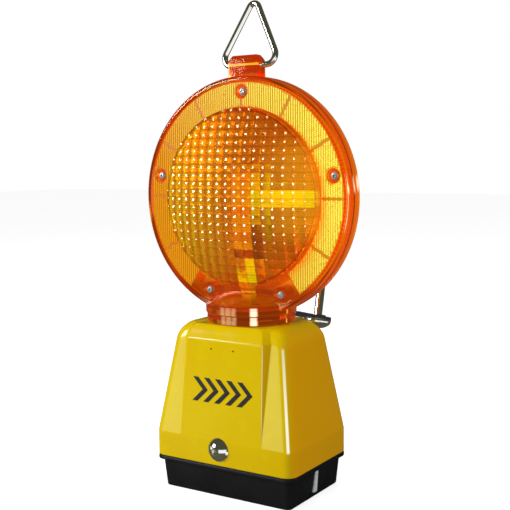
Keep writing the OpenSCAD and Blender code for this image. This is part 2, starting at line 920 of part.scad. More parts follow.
// Hollow post on a flange, with the lead entering from the swivel axis
module led_post() {
    color([0.95, 0.8, 0.1])
    difference() {
        union() {
            translate([0, neck_y, turret_top_z + 0.5]) cylinder(h = 1.5, r = post_flange_r);
            translate([-post_w / 2, head_y - post_d / 2, turret_top_z + 1])
                cube([post_w, post_d, post_top_z - turret_top_z - 1]);
        }
        translate([0, head_y, turret_top_z - 1]) cylinder(h = 60, r = lead_hole_r);
        translate([0, neck_y, turret_top_z - 1]) cylinder(h = 10, r = lead_hole_r);
        translate([-lead_hole_r, head_y, turret_top_z - 1]) cube([2 * lead_hole_r, 10, lead_bend_z]);
        // four openings in the flange
        for (a = [45 : 90 : 315])
            translate([20 * cos(a), neck_y + 20 * sin(a), turret_top_z - 1]) cylinder(h = 5, r = 5);
    }
}

module led_holder() {
    color([0.12, 0.1, 0.08])
    translate([-holder_w / 2, head_y - 5, post_top_z + 0.1]) cube([holder_w, holder_d, holder_h]);
}

module led_boards() {
    color([0.9, 0.9, 0.85])
    for (y = [front_strip_y, rear_strip_y])
        translate([-strip_w / 2, y, strip_z]) cube([strip_w, strip_t, strip_h]);
}

// Lights on one strip, each a collar with a dome
module led_group(y, dir) {
    for (x = led_x, z = led_z)
        translate([x, y, z]) rotate([dir * 90, 0, 0]) {
            cylinder(h = 3, r = led_r + 0.4);
            translate([0, 0, 3]) sphere(led_r);
        }
}

module front_leds() {
    color([1, 0.7, 0.2]) led_group(front_strip_y, 1);
}

module rear_leds() {
    color([1, 0.7, 0.2]) led_group(rear_strip_y + strip_t, -1);
}

module light_bar() {
    color([1, 0.85, 0.1])
    translate([-strip_w / 2, head_y - 5.9, 242.5]) cube([strip_w / 2 + 60, 15, 10.5]);
}

// Cable from the swivel axis into the hollow post: two upright runs and a slanted one
module head_lead() {
    offset_y = neck_y - head_y;
    slant = atan(offset_y / lead_slant_h);
    lower_h = lead_bend_z - lead_slant_h - 2;
    color([0.1, 0.1, 0.1])
    translate([0, neck_y, lead_z0]) {
        cylinder(h = lower_h, r = lead_r);
        translate([0, 0, lower_h]) {
            sphere(lead_r);
            rotate([slant, 0, 0]) cylinder(h = lead_slant_h / cos(slant), r = lead_r - 0.02);
        }
        translate([0, -offset_y, lower_h + lead_slant_h]) {
            sphere(lead_r);
            cylinder(h = post_top_z - 0.5 - lead_z0 - lower_h - lead_slant_h, r = lead_r);
        }
    }
}

// ---------- bail ----------

// Corner of the wire loop: an arc about the local Z axis, whose ends
// reach a little way into the straight runs
module wire_arc(bend, angle) {
    reach = 2;
    rotate(-reach) rotate_extrude(angle = angle + 2 * reach)
        translate([bend, 0]) circle(bail_d / 2 - 0.02);
}

// Triangular wire loop: three straight runs joined by three arcs
module bail() {
    base_a = atan(2 * bail_h / bail_w);
    foot_cut = foot_bend / tan(base_a / 2);
    apex_cut = apex_bend / tan(90 - base_a);
    side = bail_h / sin(base_a);
    half = bail_w / 2 - foot_cut;
    color([0.85, 0.85, 0.87])
    translate([bail_shift, head_y, bail_z]) rotate([90 - bail_lean, 0, 0])
    union() {
        translate([-half, 0, 0]) rotate([0, 90, 0]) cylinder(h = 2 * half, r = bail_d / 2);
        for (m = [0, 1]) mirror([m, 0, 0]) {
            translate([half, foot_bend, 0]) rotate(-90) wire_arc(foot_bend, 180 - base_a);
            translate([bail_w / 2, 0, 0]) rotate(90 - base_a) rotate([-90, 0, 0])
                translate([0, 0, foot_cut]) cylinder(h = side - foot_cut - apex_cut, r = bail_d / 2);
        }
        translate([0, bail_h - apex_bend / cos(base_a), 0])
            rotate(90 - base_a) wire_arc(apex_bend, 2 * base_a);
    }
}

battery_tray();
tray_seal();
side_clips();
lock_keeper();
keeper_rivets();
battery_case();
battery_lid();
battery_springs();
cover();
front_decal();
lock_bush();
mounting_strap();
strap_gasket();
swivel_turret();
turret_nut();
circuit_board();
board_screws();
driver_parts();
contact_carrier();
contact_plates();
photocell();
test_lamp();
mode_switch();
supply_lead();
lock_screw();
lock_cam();
cam_nut();
mode_slider();
mounting_bolt();
bolt_retainer();
front_shell();
rear_shell();
front_lens();
rear_lens();
front_reflector();
rear_reflector();
head_seal();
head_screws();
screw_inserts();
led_post();
led_holder();
led_boards();
front_leds();
rear_leds();
light_bar();
head_lead();
bail();
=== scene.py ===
"""Looks of a battery warning lamp for a road barrier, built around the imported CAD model.

Builders work in millimetres in the CAD frame; MM turns their points into Blender's metres.
"""

import json
import math

import bmesh
import bpy
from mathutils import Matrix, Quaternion, Vector


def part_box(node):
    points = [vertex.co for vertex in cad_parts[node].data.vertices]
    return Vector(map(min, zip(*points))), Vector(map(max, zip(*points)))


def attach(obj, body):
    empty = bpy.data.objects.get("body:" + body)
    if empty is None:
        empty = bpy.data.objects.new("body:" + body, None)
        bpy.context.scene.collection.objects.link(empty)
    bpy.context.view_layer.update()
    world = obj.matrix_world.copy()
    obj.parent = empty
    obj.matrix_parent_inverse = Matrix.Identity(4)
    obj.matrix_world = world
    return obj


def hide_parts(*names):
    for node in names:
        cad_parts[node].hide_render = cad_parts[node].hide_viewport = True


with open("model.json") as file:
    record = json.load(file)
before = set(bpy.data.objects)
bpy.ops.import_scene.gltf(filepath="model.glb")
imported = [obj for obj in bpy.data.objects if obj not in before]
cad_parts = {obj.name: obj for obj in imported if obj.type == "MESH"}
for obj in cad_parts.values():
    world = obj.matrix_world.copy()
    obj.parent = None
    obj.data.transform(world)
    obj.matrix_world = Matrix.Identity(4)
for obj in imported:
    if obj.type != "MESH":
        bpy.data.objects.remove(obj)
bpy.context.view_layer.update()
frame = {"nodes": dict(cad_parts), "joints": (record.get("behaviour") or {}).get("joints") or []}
scene = bpy.context.scene

MM = 0.001
X = (1, 0, 0)
Y = (0, 1, 0)
Z = (0, 0, 1)


# ---------------------------------------------------------------- places from the frame

def box_mm(node):
    """Lowest and highest corner of a CAD node, in millimetres."""
    low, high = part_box(node)
    return low / MM, high / MM


def joint(name):
    """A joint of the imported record, by name."""
    return next(j for j in frame["joints"] if j["name"] == name)


lens_low, lens_high = box_mm("front_lens")
shell_low, shell_high = box_mm("front_shell")
cover_low, cover_high = box_mm("cover")
tray_high = box_mm("battery_tray")[1]
ring_low = box_mm("front_reflector")[0]
bail_pivot = Vector(joint("bail_swing")["pos_m"]) / MM
swivel = Vector(joint("head_swivel")["pos_m"]) / MM
lock_axis = Vector(joint("lock_turn")["pos_m"]) / MM

HEAD_R = shell_high.x
HEAD_Z = (lens_low.z + lens_high.z) / 2
SEAM_Y = shell_high.y
LENS_TOP = SEAM_Y - lens_low.y
RING_T = SEAM_Y - ring_low.y
NECK_Z = shell_low.z
LOOP_TOP = shell_high.z

# Head, in its own frame: r from the head axis, t forwards from the seam
RIM_T = 10
FACE_T = RIM_T - 1
FACE_IN = FACE_T - 2.5
SEAM_GAP = 0.04
LIP_R = 95
CAVITY_R = HEAD_R - 3
LENS_R = 73.5
LENS_RISE = 11
LENS_THICK = 2.5
LENS_GAP = 0.2
LENS_FLANGE_R = lens_high.x
CELL_W = 9.1
CELL_H = 7.0
PILLOW_W = 0.95
PILLOW_H = 0.7
SCREW_RING_R = 87.2
SCREW_SPOTS = [(SCREW_RING_R * math.cos(math.radians(angle)), SCREW_RING_R * math.sin(math.radians(angle)))
               for angle in (90, 12, 168, 246, 294)]
SCREW_SEAT_T = 5.5
SCREW_HOLE_R = 2.1
SCREW_BOSS_R = 6.6
COUNTERBORE_R = 5.6
INSERT_R = 3.02
EYE_HOLE_R = 2.58
RING_R0 = 74.6
RING_R1 = 94.8
RING_START = -55
RING_SWEEP = 290
SEGMENT_STEP = 30
BAR_HALF = 1.5
BEAD_PITCH = 2.1
BEAD_ROW = 1.62
BEAD_W = 1.32
BEAD_H = 0.88
BEAD_T = 0.5
# Height below which the yellow inside parts are painted in shade, without their painted glow
POST_DARK_Z = 156

# Neck, about the swivel axis
NECK_R = 38.5
NECK_WALL = 3
NECK_STEP_Z = NECK_Z + 7.7
NECK_BLEND_Z = NECK_Z + 14.5
BLEND_H = 10
RING_LOW_Z = NECK_BLEND_Z + BLEND_H
BLEND_R = 12.5
LIP_Z0 = NECK_Z + 3.3
CORE_R = 27.08

# Cover
ROOF_Z = cover_high.z
SKIRT_Z = 50
SKIRT_STEP = 0.12
SHOULDER_Z = 128
PANEL_HALF = 40
PANEL_TOP_Z = 131.5
WALL = 3
FOOT_INSET = 0.35
TURRET_BOSS_R = 35
TURRET_R = 31.2
LEAD_HOLE_R = 22.2
STRAP_SLOT = (-13.2, 13.2, 15, 56)
BOARD_POSTS = [(x, y) for x in (-36, 36) for y in (-18, 18)]
BOARD_POST_R = 3.6
PILOT_R = 1.3
LOCK_HOLE_R = 6.08
PORT_R = 0.85

# Azimuths of the window and the open sky whose reflections are painted onto glossy surfaces, in degrees
WINDOW = 38
SKY = -32


# ---------------------------------------------------------------- mesh helpers

def make_object(name, points, faces):
    """Object from millimetre points, welded and with outward normals."""
    mesh = bpy.data.meshes.new(name)
    mesh.from_pydata([Vector(p) * MM for p in points], [], faces)
    obj = bpy.data.objects.new(name, mesh)
    scene.collection.objects.link(obj)
    tidy(obj)
    return obj


def tidy(obj, weld=1e-6):
    """Welds points, drops empty faces and turns the normals outwards."""
    bm = bmesh.new()
    bm.from_mesh(obj.data)
    bmesh.ops.remove_doubles(bm, verts=bm.verts, dist=weld)
    bmesh.ops.dissolve_degenerate(bm, edges=bm.edges, dist=weld)
    bmesh.ops.recalc_face_normals(bm, faces=bm.faces)
    bm.to_mesh(obj.data)
    bm.free()


def remove(obj):
    """Deletes a helper object and its mesh."""
    mesh = obj.data
    bpy.data.objects.remove(obj)
    bpy.data.meshes.remove(mesh)


def apply_modifiers(obj):
    """Writes the evaluated mesh back and clears the modifier stack."""
    depsgraph = bpy.context.evaluated_depsgraph_get()
    mesh = bpy.data.meshes.new_from_object(obj.evaluated_get(depsgraph))
    old = obj.data
    obj.modifiers.clear()
    obj.data = mesh
    bpy.data.meshes.remove(old)


def combine(obj, tool, operation):
    """Boolean of obj with a tool, which is deleted."""
    modifier = obj.modifiers.new("boolean", "BOOLEAN")
    modifier.operation = operation
    modifier.solver = "MANIFOLD"
    modifier.object = tool
    apply_modifiers(obj)
    remove(tool)
    return obj


def cut(obj, tool):
    """Takes a tool's volume out of obj."""
    return combine(obj, tool, "DIFFERENCE")


def add(obj, tool):
    """Adds a tool's volume to obj."""
    return combine(obj, tool, "UNION")


def join(name, parts):
    """One object from several, their meshes simply put together."""
    bm = bmesh.new()
    for part in parts:
        bm.from_mesh(part.data)
    mesh = bpy.data.meshes.new(name)
    bm.to_mesh(mesh)
    bm.free()
    for part in parts:
        remove(part)
    obj = bpy.data.objects.new(name, mesh)
    scene.collection.objects.link(obj)
    return obj


def skin(rings, closed=False):
    """Points and faces of a skin over rings of equal length; both ends are capped unless it is closed."""
    count = len(rings[0])
    points = [p for ring in rings for p in ring]
    faces = []
    for i in range(len(rings) if closed else len(rings) - 1):
        a = i * count
        b = (i + 1) % len(rings) * count
        for j in range(count):
            k = (j + 1) % count
            faces.append((a + j, a + k, b + k, b + j))
    if not closed:
        faces.append(tuple(range(count))[::-1])
        faces.append(tuple(range(len(points) - count, len(points))))
    return points, faces


def fillet(points, radii, steps=4):
    """Closed 2-D outline whose corners become arcs of the given radii."""
    outline = []
    for i, radius in enumerate(radii):
        corner = Vector(points[i])
        if radius <= 0:
            outline.append(corner)
            continue
        before = (Vector(points[i - 1]) - corner).normalized()
        after = (Vector(points[(i + 1) % len(points)]) - corner).normalized()
        half = before.angle(after) / 2
        centre = corner + (before + after).normalized() * (radius / math.sin(half))
        start = corner + before * (radius / math.tan(half)) - centre
        end = corner + after * (radius / math.tan(half)) - centre
        turn = math.atan2(start.x * end.y - start.y * end.x, start.dot(end))
        for s in range(steps + 1):
            a = turn * s / steps
            outline.append(centre + Vector((start.x * math.cos(a) - start.y * math.sin(a),
                                            start.x * math.sin(a) + start.y * math.cos(a))))
    return outline


def lathe(outline, place, segments, start=0, sweep=360):
    """Solid of revolution of an (r, h) outline; place maps local x, y, h into the frame."""
    whole = sweep == 360
    turns = segments if whole else segments + 1
    rings = []
    for j in range(turns):
        a = math.radians(start + sweep * j / segments)
        rings.append([place(r * math.cos(a), r * math.sin(a), h) for r, h in outline])
    return skin(rings, closed=whole)


def tube(path, radius, sides):
    """Points and faces of a round wire along a closed path."""
    rings = []
    normal = None
    for i, p in enumerate(path):
        ahead = (path[(i + 1) % len(path)] - path[i - 1]).normalized()
        if normal is None:
            normal = ahead.orthogonal().normalized()
        normal = (normal - ahead * normal.dot(ahead)).normalized()
        side = ahead.cross(normal)
        rings.append([p + (normal * math.cos(a) + side * math.sin(a)) * radius
                      for a in (2 * math.pi * k / sides for k in range(sides))])
    return skin(rings, closed=True)


def front(x, y, t):
    """Local head point, t forwards from the seam."""
    return Vector((x, SEAM_Y - t, HEAD_Z + y))


def rear(x, y, t):
    """Local head point, t backwards from the seam."""
    return Vector((x, SEAM_Y + t, HEAD_Z + y))


def upright(cx, cy):
    """Placement about an upright axis through cx, cy."""
    return lambda x, y, h: Vector((cx + x, cy + y, h))


def forwards(centre):
    """Placement about an axis along y through a point."""
    return lambda x, z, h: Vector((centre.x + x, h, centre.z + z))


def block(x0, x1, y0, y1, z0, z1):
    """Box used as a cutting tool."""
    rings = [[(x0, y0, z), (x1, y0, z), (x1, y1, z), (x0, y1, z)] for z in (z0, z1)]
    return make_object("tool", *skin(rings))


def turned(outline, place, segments, start=0, sweep=360):
    """Solid of revolution used as a tool."""
    return make_object("tool", *lathe(outline, place, segments, start, sweep))


def rod(place, radius, h0, h1, segments=48):
    """Cylinder used as a tool."""
    return turned([(0, h0), (radius, h0), (radius, h1), (0, h1)], place, segments)


def shift(place, dx, dy):
    """The same placement with its local axis moved by dx, dy."""
    return lambda x, y, h: place(x + dx, y + dy, h)


def screw_places(place):
    """Placements of the five head screws."""
    return [shift(place, x, y) for x, y in SCREW_SPOTS]


def finish_piece(obj, material, body, replaces, angle):
    """Shading, material and body of a finished piece, and the CAD node it stands for."""
    obj.data.materials.clear()
    obj.data.materials.append(material)
    obj.data.shade_smooth()
    obj.data.set_sharp_from_angle(angle=math.radians(angle))
    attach(obj, body)
    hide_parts(replaces)


# ---------------------------------------------------------------- materials

def srgb(r, g, b):
    """Linear colour from 8-bit sRGB values."""
    def linear(c):
        c /= 255
        return c / 12.92 if c <= 0.04045 else ((c + 0.055) / 1.055) ** 2.4
    return (linear(r), linear(g), linear(b), 1)


def dim(colour, share):
    """Darker version of a linear colour."""
    return tuple(c * share for c in colour[:3]) + (1,)


def connect(tree, value, socket):
    """Links a socket to another one, or sets it to a plain value."""
    if isinstance(value, bpy.types.NodeSocket):
        tree.links.new(value, socket)
    else:
        socket.default_value = value


class Finish:
    """Principled material with procedural colour, roughness and bump."""

    def __init__(self, name, colour, roughness, **inputs):
        self.material = bpy.data.materials.new(name)
        self.material.use_nodes = True
        self.tree = self.material.node_tree
        self.shader = self.tree.nodes["Principled BSDF"]
        self.roughness = roughness
        self.height = None
        self.mirrored = None
        self.where = self.node("ShaderNodeTexCoord").outputs["Object"]
        self.set(Base_Color=colour, Roughness=roughness, Emission_Color=(0, 0, 0, 1), Emission_Strength=1)
        self.set(**inputs)

    def set(self, **inputs):
        """Values or sockets for inputs of the shader; their names are written with _ for a space."""
        for key, value in inputs.items():
            connect(self.tree, value, self.shader.inputs[key.replace("_", " ")])
        return self

    def now(self, name):
        """The socket that feeds an input of the shader, or its plain value."""
        socket = self.shader.inputs[name]
        return socket.links[0].from_socket if socket.is_linked else tuple(socket.default_value)

    def node(self, kind, inputs=(), **settings):
        """New node, with values or sockets for its inputs."""
        made = self.tree.nodes.new(kind)
        for key, value in settings.items():
            setattr(made, key, value)
        for key, value in dict(inputs).items():
            connect(self.tree, value, made.inputs[key])
        return made

    def output(self, name, socket):
        """Feeds an input of the material's output."""
        connect(self.tree, socket, self.tree.nodes["Material Output"].inputs[name])
        return self

    def noise(self, size_mm, stretch, detail):
        """Noise of the given feature size, from 0 to 1."""
        mapping = self.node("ShaderNodeMapping", {"Vector": self.where, "Scale": stretch})
        texture = {"Vector": mapping.outputs["Vector"], "Scale": 1 / (size_mm * MM), "Detail": detail}
        return self.node("ShaderNodeTexNoise", texture).outputs["Fac"]

    def remap(self, value, low, high, to_low=0.0, to_high=1.0):
        """Linear change of range, clamped."""
        ends = {"Value": value, "From Min": low, "From Max": high, "To Min": to_low, "To Max": to_high}
        return self.node("ShaderNodeMapRange", ends).outputs["Result"]

    def calc(self, operation, a, b=0.0):
        """One math node; a and b are numbers or sockets."""
        return self.node("ShaderNodeMath", {0: a, 1: b}, operation=operation).outputs["Value"]

    def times(self, a, b):
        return self.calc("MULTIPLY", a, b)

    def other(self, factor):
        """1 where the factor is 0."""
        return self.calc("SUBTRACT", 1.0, factor)

    def away(self, x, z):
        """Distance from where two along() values are 0."""
        return self.calc("SQRT", self.calc("ADD", self.times(x, x), self.times(z, z)))

    def along(self, axis, origin=0.0):
        """Distance from an origin along a direction, in millimetres."""
        factors = {0: self.where, 1: Vector(axis) / MM}
        dot = self.node("ShaderNodeVectorMath", factors, operation="DOT_PRODUCT")
        return self.calc("SUBTRACT", dot.outputs["Value"], origin)

    def near(self, value, width, soft):
        """1 up to the width on both sides of 0, then fading out."""
        return self.remap(self.calc("ABSOLUTE", value), width, width + soft, 1.0, 0.0)

    def near_grid(self, value, pitch, width):
        """1 on lines at every multiple of the pitch, 0 further away than the width."""
        return self.remap(self.calc("PINGPONG", value, pitch / 2), 0, width, 1.0, 0.0)

    def mix(self, factor, a, b, blend="MIX"):
        """Colour mix; a and b are colours or sockets."""
        mixer = self.node("ShaderNodeMix", {0: factor, 6: a, 7: b}, data_type="RGBA", blend_type=blend)
        return mixer.outputs[2]

    def paint(self, factor, other):
        """Base colour turns into another one where the factor is 1."""
        return self.set(Base_Color=self.mix(factor, self.now("Base Color"), other))

    def shine(self, factor, colour):
        """Paints light: adds emission of the colour where the factor is 1; a negative colour takes painted
        glow away.
        """
        return self.set(Emission_Color=self.mix(factor, self.now("Emission Color"), colour, "ADD"))

    def tint(self, size_mm, other, low=0.35, high=0.65, stretch=(1, 1, 1)):
        """Base colour drifts towards another colour."""
        return self.paint(self.remap(self.noise(size_mm, stretch, 3), low, high), other)

    def smudge(self, size_mm, amount, stretch=(1, 1, 1)):
        """Roughness varies by plus or minus the amount."""
        ends = max(self.roughness - amount, 0.01), self.roughness + amount
        return self.set(Roughness=self.remap(self.noise(size_mm, stretch, 4), 0.3, 0.7, *ends))

    def bump(self, size_mm, depth_mm, stretch=(1, 1, 1), coat=False):
        """Fine relief of the given feature size and depth, over any relief so far."""
        relief = {"Distance": depth_mm * MM, "Strength": 1, "Height": self.noise(size_mm, stretch, 2)}
        if self.height is not None:
            relief["Normal"] = self.height
        self.height = self.node("ShaderNodeBump", relief).outputs["Normal"]
        return self.set(Normal=self.height, **({"Coat_Normal": self.height} if coat else {}))

    def absorb(self, colour, density):
        """Light is taken up along its way through the wall."""
        volume = self.node("ShaderNodeVolumeAbsorption", {"Color": colour, "Density": density})
        return self.output("Volume", volume.outputs["Volume"])

    def mirrors(self, azimuth, elevation, half_azimuth, half_elevation, soft):
        """1 where the surface mirrors that patch of the studio to the camera, 0 elsewhere; in degrees."""
        if self.mirrored is None:
            ray = self.node("ShaderNodeTexCoord").outputs["Reflection"]
            part = self.node("ShaderNodeSeparateXYZ", {"Vector": ray}).outputs
            around = self.calc("ARCTAN2", part["X"], self.times(part["Y"], -1.0))
            above = self.calc("ARCSINE", part["Z"])
            self.mirrored = [self.calc("DEGREES", angle) for angle in (around, above)]
        inside = 1.0
        for value, middle, half in zip(self.mirrored, (azimuth, elevation), (half_azimuth, half_elevation)):
            inside = self.times(self.near(self.calc("SUBTRACT", value, middle), half, soft), inside)
        return inside

    def lets_light_in(self, colour):
        """Lamps shine through the plastic, coloured by it."""
        clear = self.node("ShaderNodeBsdfTransparent", {"Color": colour}).outputs["BSDF"]
        shadow = self.node("ShaderNodeLightPath").outputs["Is Shadow Ray"]
        mixer = self.node("ShaderNodeMixShader", {0: shadow, 1: self.shader.outputs["BSDF"], 2: clear})
        return self.output("Surface", mixer.outputs["Shader"])


def yellow_moulding():
    """Glossy yellow plastic; painted shade makes the side away from the main light warmer, and painted
    highlights and reflections lie on its corners, panel edges and facets.
    """
    finish = Finish("yellow_moulding", srgb(218, 188, 0), 0.15, Specular_IOR_Level=0.25)
    finish.tint(60, srgb(215, 180, 0)).tint(9, srgb(222, 192, 2), 0.55, 0.8)
    # Painted shade: faces turned to the right, away from the main light, are painted a warmer orange yellow.
    normal = finish.node("ShaderNodeNewGeometry").outputs["True Normal"]
    facing = finish.node("ShaderNodeSeparateXYZ", {"Vector": normal}).outputs["X"]
    finish.paint(finish.remap(facing, 0.5, 0.95), srgb(226, 164, 0))
    # Painted highlight of the window on the rounded corners and panel edges, weaker higher up and left off
    # the fold at the panel's foot.
    across = finish.calc("ABSOLUTE", finish.along(X))
    fold = finish.times(finish.remap(across, PANEL_HALF + 0.2, PANEL_HALF + 0.5),
                        finish.remap(across, PANEL_HALF + 9, PANEL_HALF + 10, 1.0, 0.0))
    fade = finish.remap(finish.along(Z), 70, PANEL_TOP_Z, 1.0, 0.45)
    edge = finish.times(finish.mirrors(WINDOW, 5, 9, 10, 9), fade)
    finish.shine(finish.times(edge, finish.other(fold)), (0.5, 0.6, 0.7, 1))
    # Painted reflections of the sky: one band on the facets and sides beside the panel, one on the panel
    # itself.
    side = finish.remap(across, PANEL_HALF, PANEL_HALF + 0.6)
    for place, elevation, high in ((side, 4, 11), (finish.other(side), 7.5, 7.5)):
        sky = finish.mirrors(SKY, elevation, 26, high, 1.2)
        finish.shine(finish.times(sky, place), (0.07, 0.11, 0.055, 1))
    return finish.smudge(14, 0.04).bump(5, 0.02).bump(0.7, 0.003).material


def black_moulding():
    finish = Finish("black_moulding", srgb(22, 22, 23), 0.42, Specular_IOR_Level=0.3)
    finish.tint(25, srgb(28, 28, 29))
    return finish.smudge(6, 0.08).bump(0.6, 0.02).bump(8, 0.02).material


def rubber():
    finish = Finish("seal_rubber", srgb(30, 30, 30), 0.7, Specular_IOR_Level=0.25)
    return finish.tint(4, srgb(44, 43, 42)).bump(0.5, 0.03).material


def chrome():
    """Bright plate with painted light: an even painted glow, and the pale sides of the studio painted in
    where they would be mirrored.
    """
    finish = Finish("chrome_plate", srgb(222, 226, 228), 0.06, Metallic=1.0)
    finish.tint(12, srgb(190, 196, 188), 0.45, 0.75)
    # Painted light: an even glow over the whole plate, then painted reflections of three bright patches of
    # the studio.
    finish.shine(1.0, srgb(58, 54, 30))
    for azimuth, elevation, wide, high in ((WINDOW, -10, 28, 10), (98, -28, 28, 8), (-62, 0, 8, 4)):
        finish.shine(finish.mirrors(azimuth, elevation, wide, high, 7), (0.8, 0.82, 0.8, 1))
    return finish.smudge(3, 0.03).bump(0.8, 0.0015).bump(6, 0.01).material


def zinc():
    finish = Finish("zinc_steel", srgb(150, 152, 152), 0.3, Metallic=0.9)
    finish.tint(5, srgb(126, 128, 130), 0.4, 0.7)
    return finish.smudge(1.5, 0.1, (1, 1, 6)).bump(0.4, 0.004, (1, 1, 8)).material


def bright_steel(name, colour, metallic):
    finish = Finish(name, colour, 0.32, Metallic=metallic, Specular_IOR_Level=0.8)
    return finish.tint(2.5, dim(colour, 0.75), 0.45, 0.7).smudge(1.5, 0.1).bump(0.5, 0.006).material


def brass():
    finish = Finish("contact_brass", srgb(214, 178, 96), 0.24, Metallic=1.0)
    return finish.tint(3, srgb(186, 148, 84)).smudge(2, 0.08).bump(0.6, 0.004).material


def amber(name, colour, roughness, transmission, glow, light):
    """Clear amber plastic; the painted glow stands for light scattered inside the wall."""
    finish = Finish(name, colour, roughness, Transmission_Weight=transmission, IOR=1.49, Emission_Color=glow)
    return finish.tint(18, dim(colour, 0.93)).smudge(7, roughness * 0.4).lets_light_in(light)


def amber_shell():
    """Shell plastic: painted glow, fine spokes inside the rim, a darker eye, painted shade on the bottom of
    the head and the neck, and painted highlights of the bail wire in the eye and of the window on the rounded
    walls.
    """
    finish = amber("amber_plastic", srgb(250, 246, 240), 0.07, 1.0, srgb(98, 40, 4), srgb(255, 150, 30))
    x, y, z = finish.along(X), finish.along(Y, SEAM_Y), finish.along(Z, HEAD_Z)
    radius = finish.away(x, z)
    angle = finish.calc("ARCTAN2", z, x)
    rib = finish.remap(finish.calc("PINGPONG", angle, math.radians(1.0)), 0.004, 0.009, 0.55, 0.0)
    face = finish.remap(finish.calc("ABSOLUTE", y), RIM_T - 0.6, RIM_T - 0.2)
    ring = finish.times(finish.remap(radius, LIP_R, LIP_R + 0.4), face)
    finish.paint(finish.times(rib, ring), srgb(196, 120, 60))
    # The eye is painted darker, and less of the painted glow is left on it.
    eye = finish.remap(z, HEAD_R, HEAD_R + 3)
    finish.paint(eye, srgb(206, 140, 100)).shine(eye, (-0.07, -0.01, 0, 1))
    finish.set(Specular_Tint=finish.mix(eye, (0.45, 0.34, 0.2, 1), (0.1, 0.04, 0.01, 1)))
    # Painted highlight of the bail wire seen through the front of the eye, with a painted line of shade just
    # under it.
    wire = finish.along(Z, bail_pivot.z)
    eye_front = finish.times(eye, finish.remap(y, -4.5, -3.5, 1.0, 0.0))
    for middle, half, colour in ((0.6, 0.6, (0.6, 0.42, 0.02, 1)), (-1.4, 0.4, (-0.3, -0.1, 0, 1))):
        line = finish.near(finish.calc("SUBTRACT", wire, middle), half, 0.5)
        finish.shine(finish.times(line, eye_front), colour)
    # Painted shade: the bottom of the head and the neck are painted darker, with less painted glow.
    shaded_low_part = finish.remap(z, -68, -76)
    finish.paint(shaded_low_part, srgb(190, 150, 100)).shine(shaded_low_part, (-0.085, -0.014, 0, 1))
    # Painted highlights: the window on the neck and rounded walls, two streaks on the rim's outer edges, and
    # three bands from the left on the neck.
    finish.shine(finish.mirrors(WINDOW, -5, 6, 12, 5), (0.85, 0.8, 0.66, 1))
    outer = finish.remap(radius, HEAD_R - 4, HEAD_R - 3)
    for azimuth, wide in ((64, 26), (166, 9)):
        finish.shine(finish.times(finish.mirrors(azimuth, 4, wide, 1, 3), outer), (0.7, 0.7, 0.5, 1))
    neck = finish.remap(finish.along(Z), NECK_BLEND_Z - 2, NECK_BLEND_Z + 4, 1.0, 0.0)
    for azimuth, wide in ((-46, 3), (-29, 4), (-13, 2.5)):
        finish.shine(finish.times(finish.mirrors(azimuth, -9, wide, 9, 6), neck), (0.3, 0.25, 0.13, 1))
    return finish.absorb((0.955, 0.77, 0.04, 1), 800).bump(6, 0.03).material


def amber_lens():
    """Lens plastic: painted glow, the left painted yellower with bright stripes, a brighter painted glow at
    the right, glossier at its upper left, and painted shade in darker lines where pillows meet.
    """
    finish = amber("amber_lens", srgb(222, 204, 186), 0.2, 1.0, srgb(72, 34, 2), srgb(255, 190, 50))
    finish.set(Coat_Roughness=0.04, Specular_IOR_Level=0.1, Specular_Tint=(1, 0.5, 0.06, 1))
    x, z = finish.along(X, -12), finish.along(Z, HEAD_Z + 6)
    finish.set(Coat_Weight=finish.remap(finish.away(x, z), 28, 78, 1.0, 0.2))
    # Painted light: the left is painted yellower with a greener glow, where light from behind shows through.
    left = finish.remap(x, 10, -LENS_R * 0.7)
    finish.paint(left, srgb(232, 240, 180)).shine(left, (-0.03, 0.04, 0.0, 1))
    # Painted light: a brighter glow at the right, at mid height.
    level = finish.near(z, 28, 18)
    finish.shine(finish.times(finish.remap(x, 32, 62), level), (0.09, 0.08, 0.004, 1))
    # Painted light: bright upright stripes on the left.
    stripe = finish.near_grid(finish.along(X, CELL_W * 0.4), CELL_W, 2.6)
    finish.shine(finish.times(stripe, left), (0.09, 0.18, 0.0, 1))
    finish.paint(finish.times(finish.near_grid(z, CELL_H / 4, 0.4), 0.7), srgb(200, 120, 50))
    # Painted shade: darker lines where the pillows meet.
    for axis, origin, pitch in ((X, 0, CELL_W), (Z, HEAD_Z, CELL_H)):
        finish.paint(finish.near_grid(finish.along(axis, origin), pitch, 0.9), srgb(190, 130, 70))
    finish.bump(7, 0.12, coat=True).bump(2.2, 0.22, (0.45, 0.45, 1.6))
    return finish.absorb((0.965, 0.79, 0.0, 1), 640).material


def led_resin():
    finish = amber("led_resin", srgb(255, 206, 110), 0.1, 0.6, srgb(90, 60, 10), srgb(255, 220, 140))
    return finish.bump(3, 0.01).material


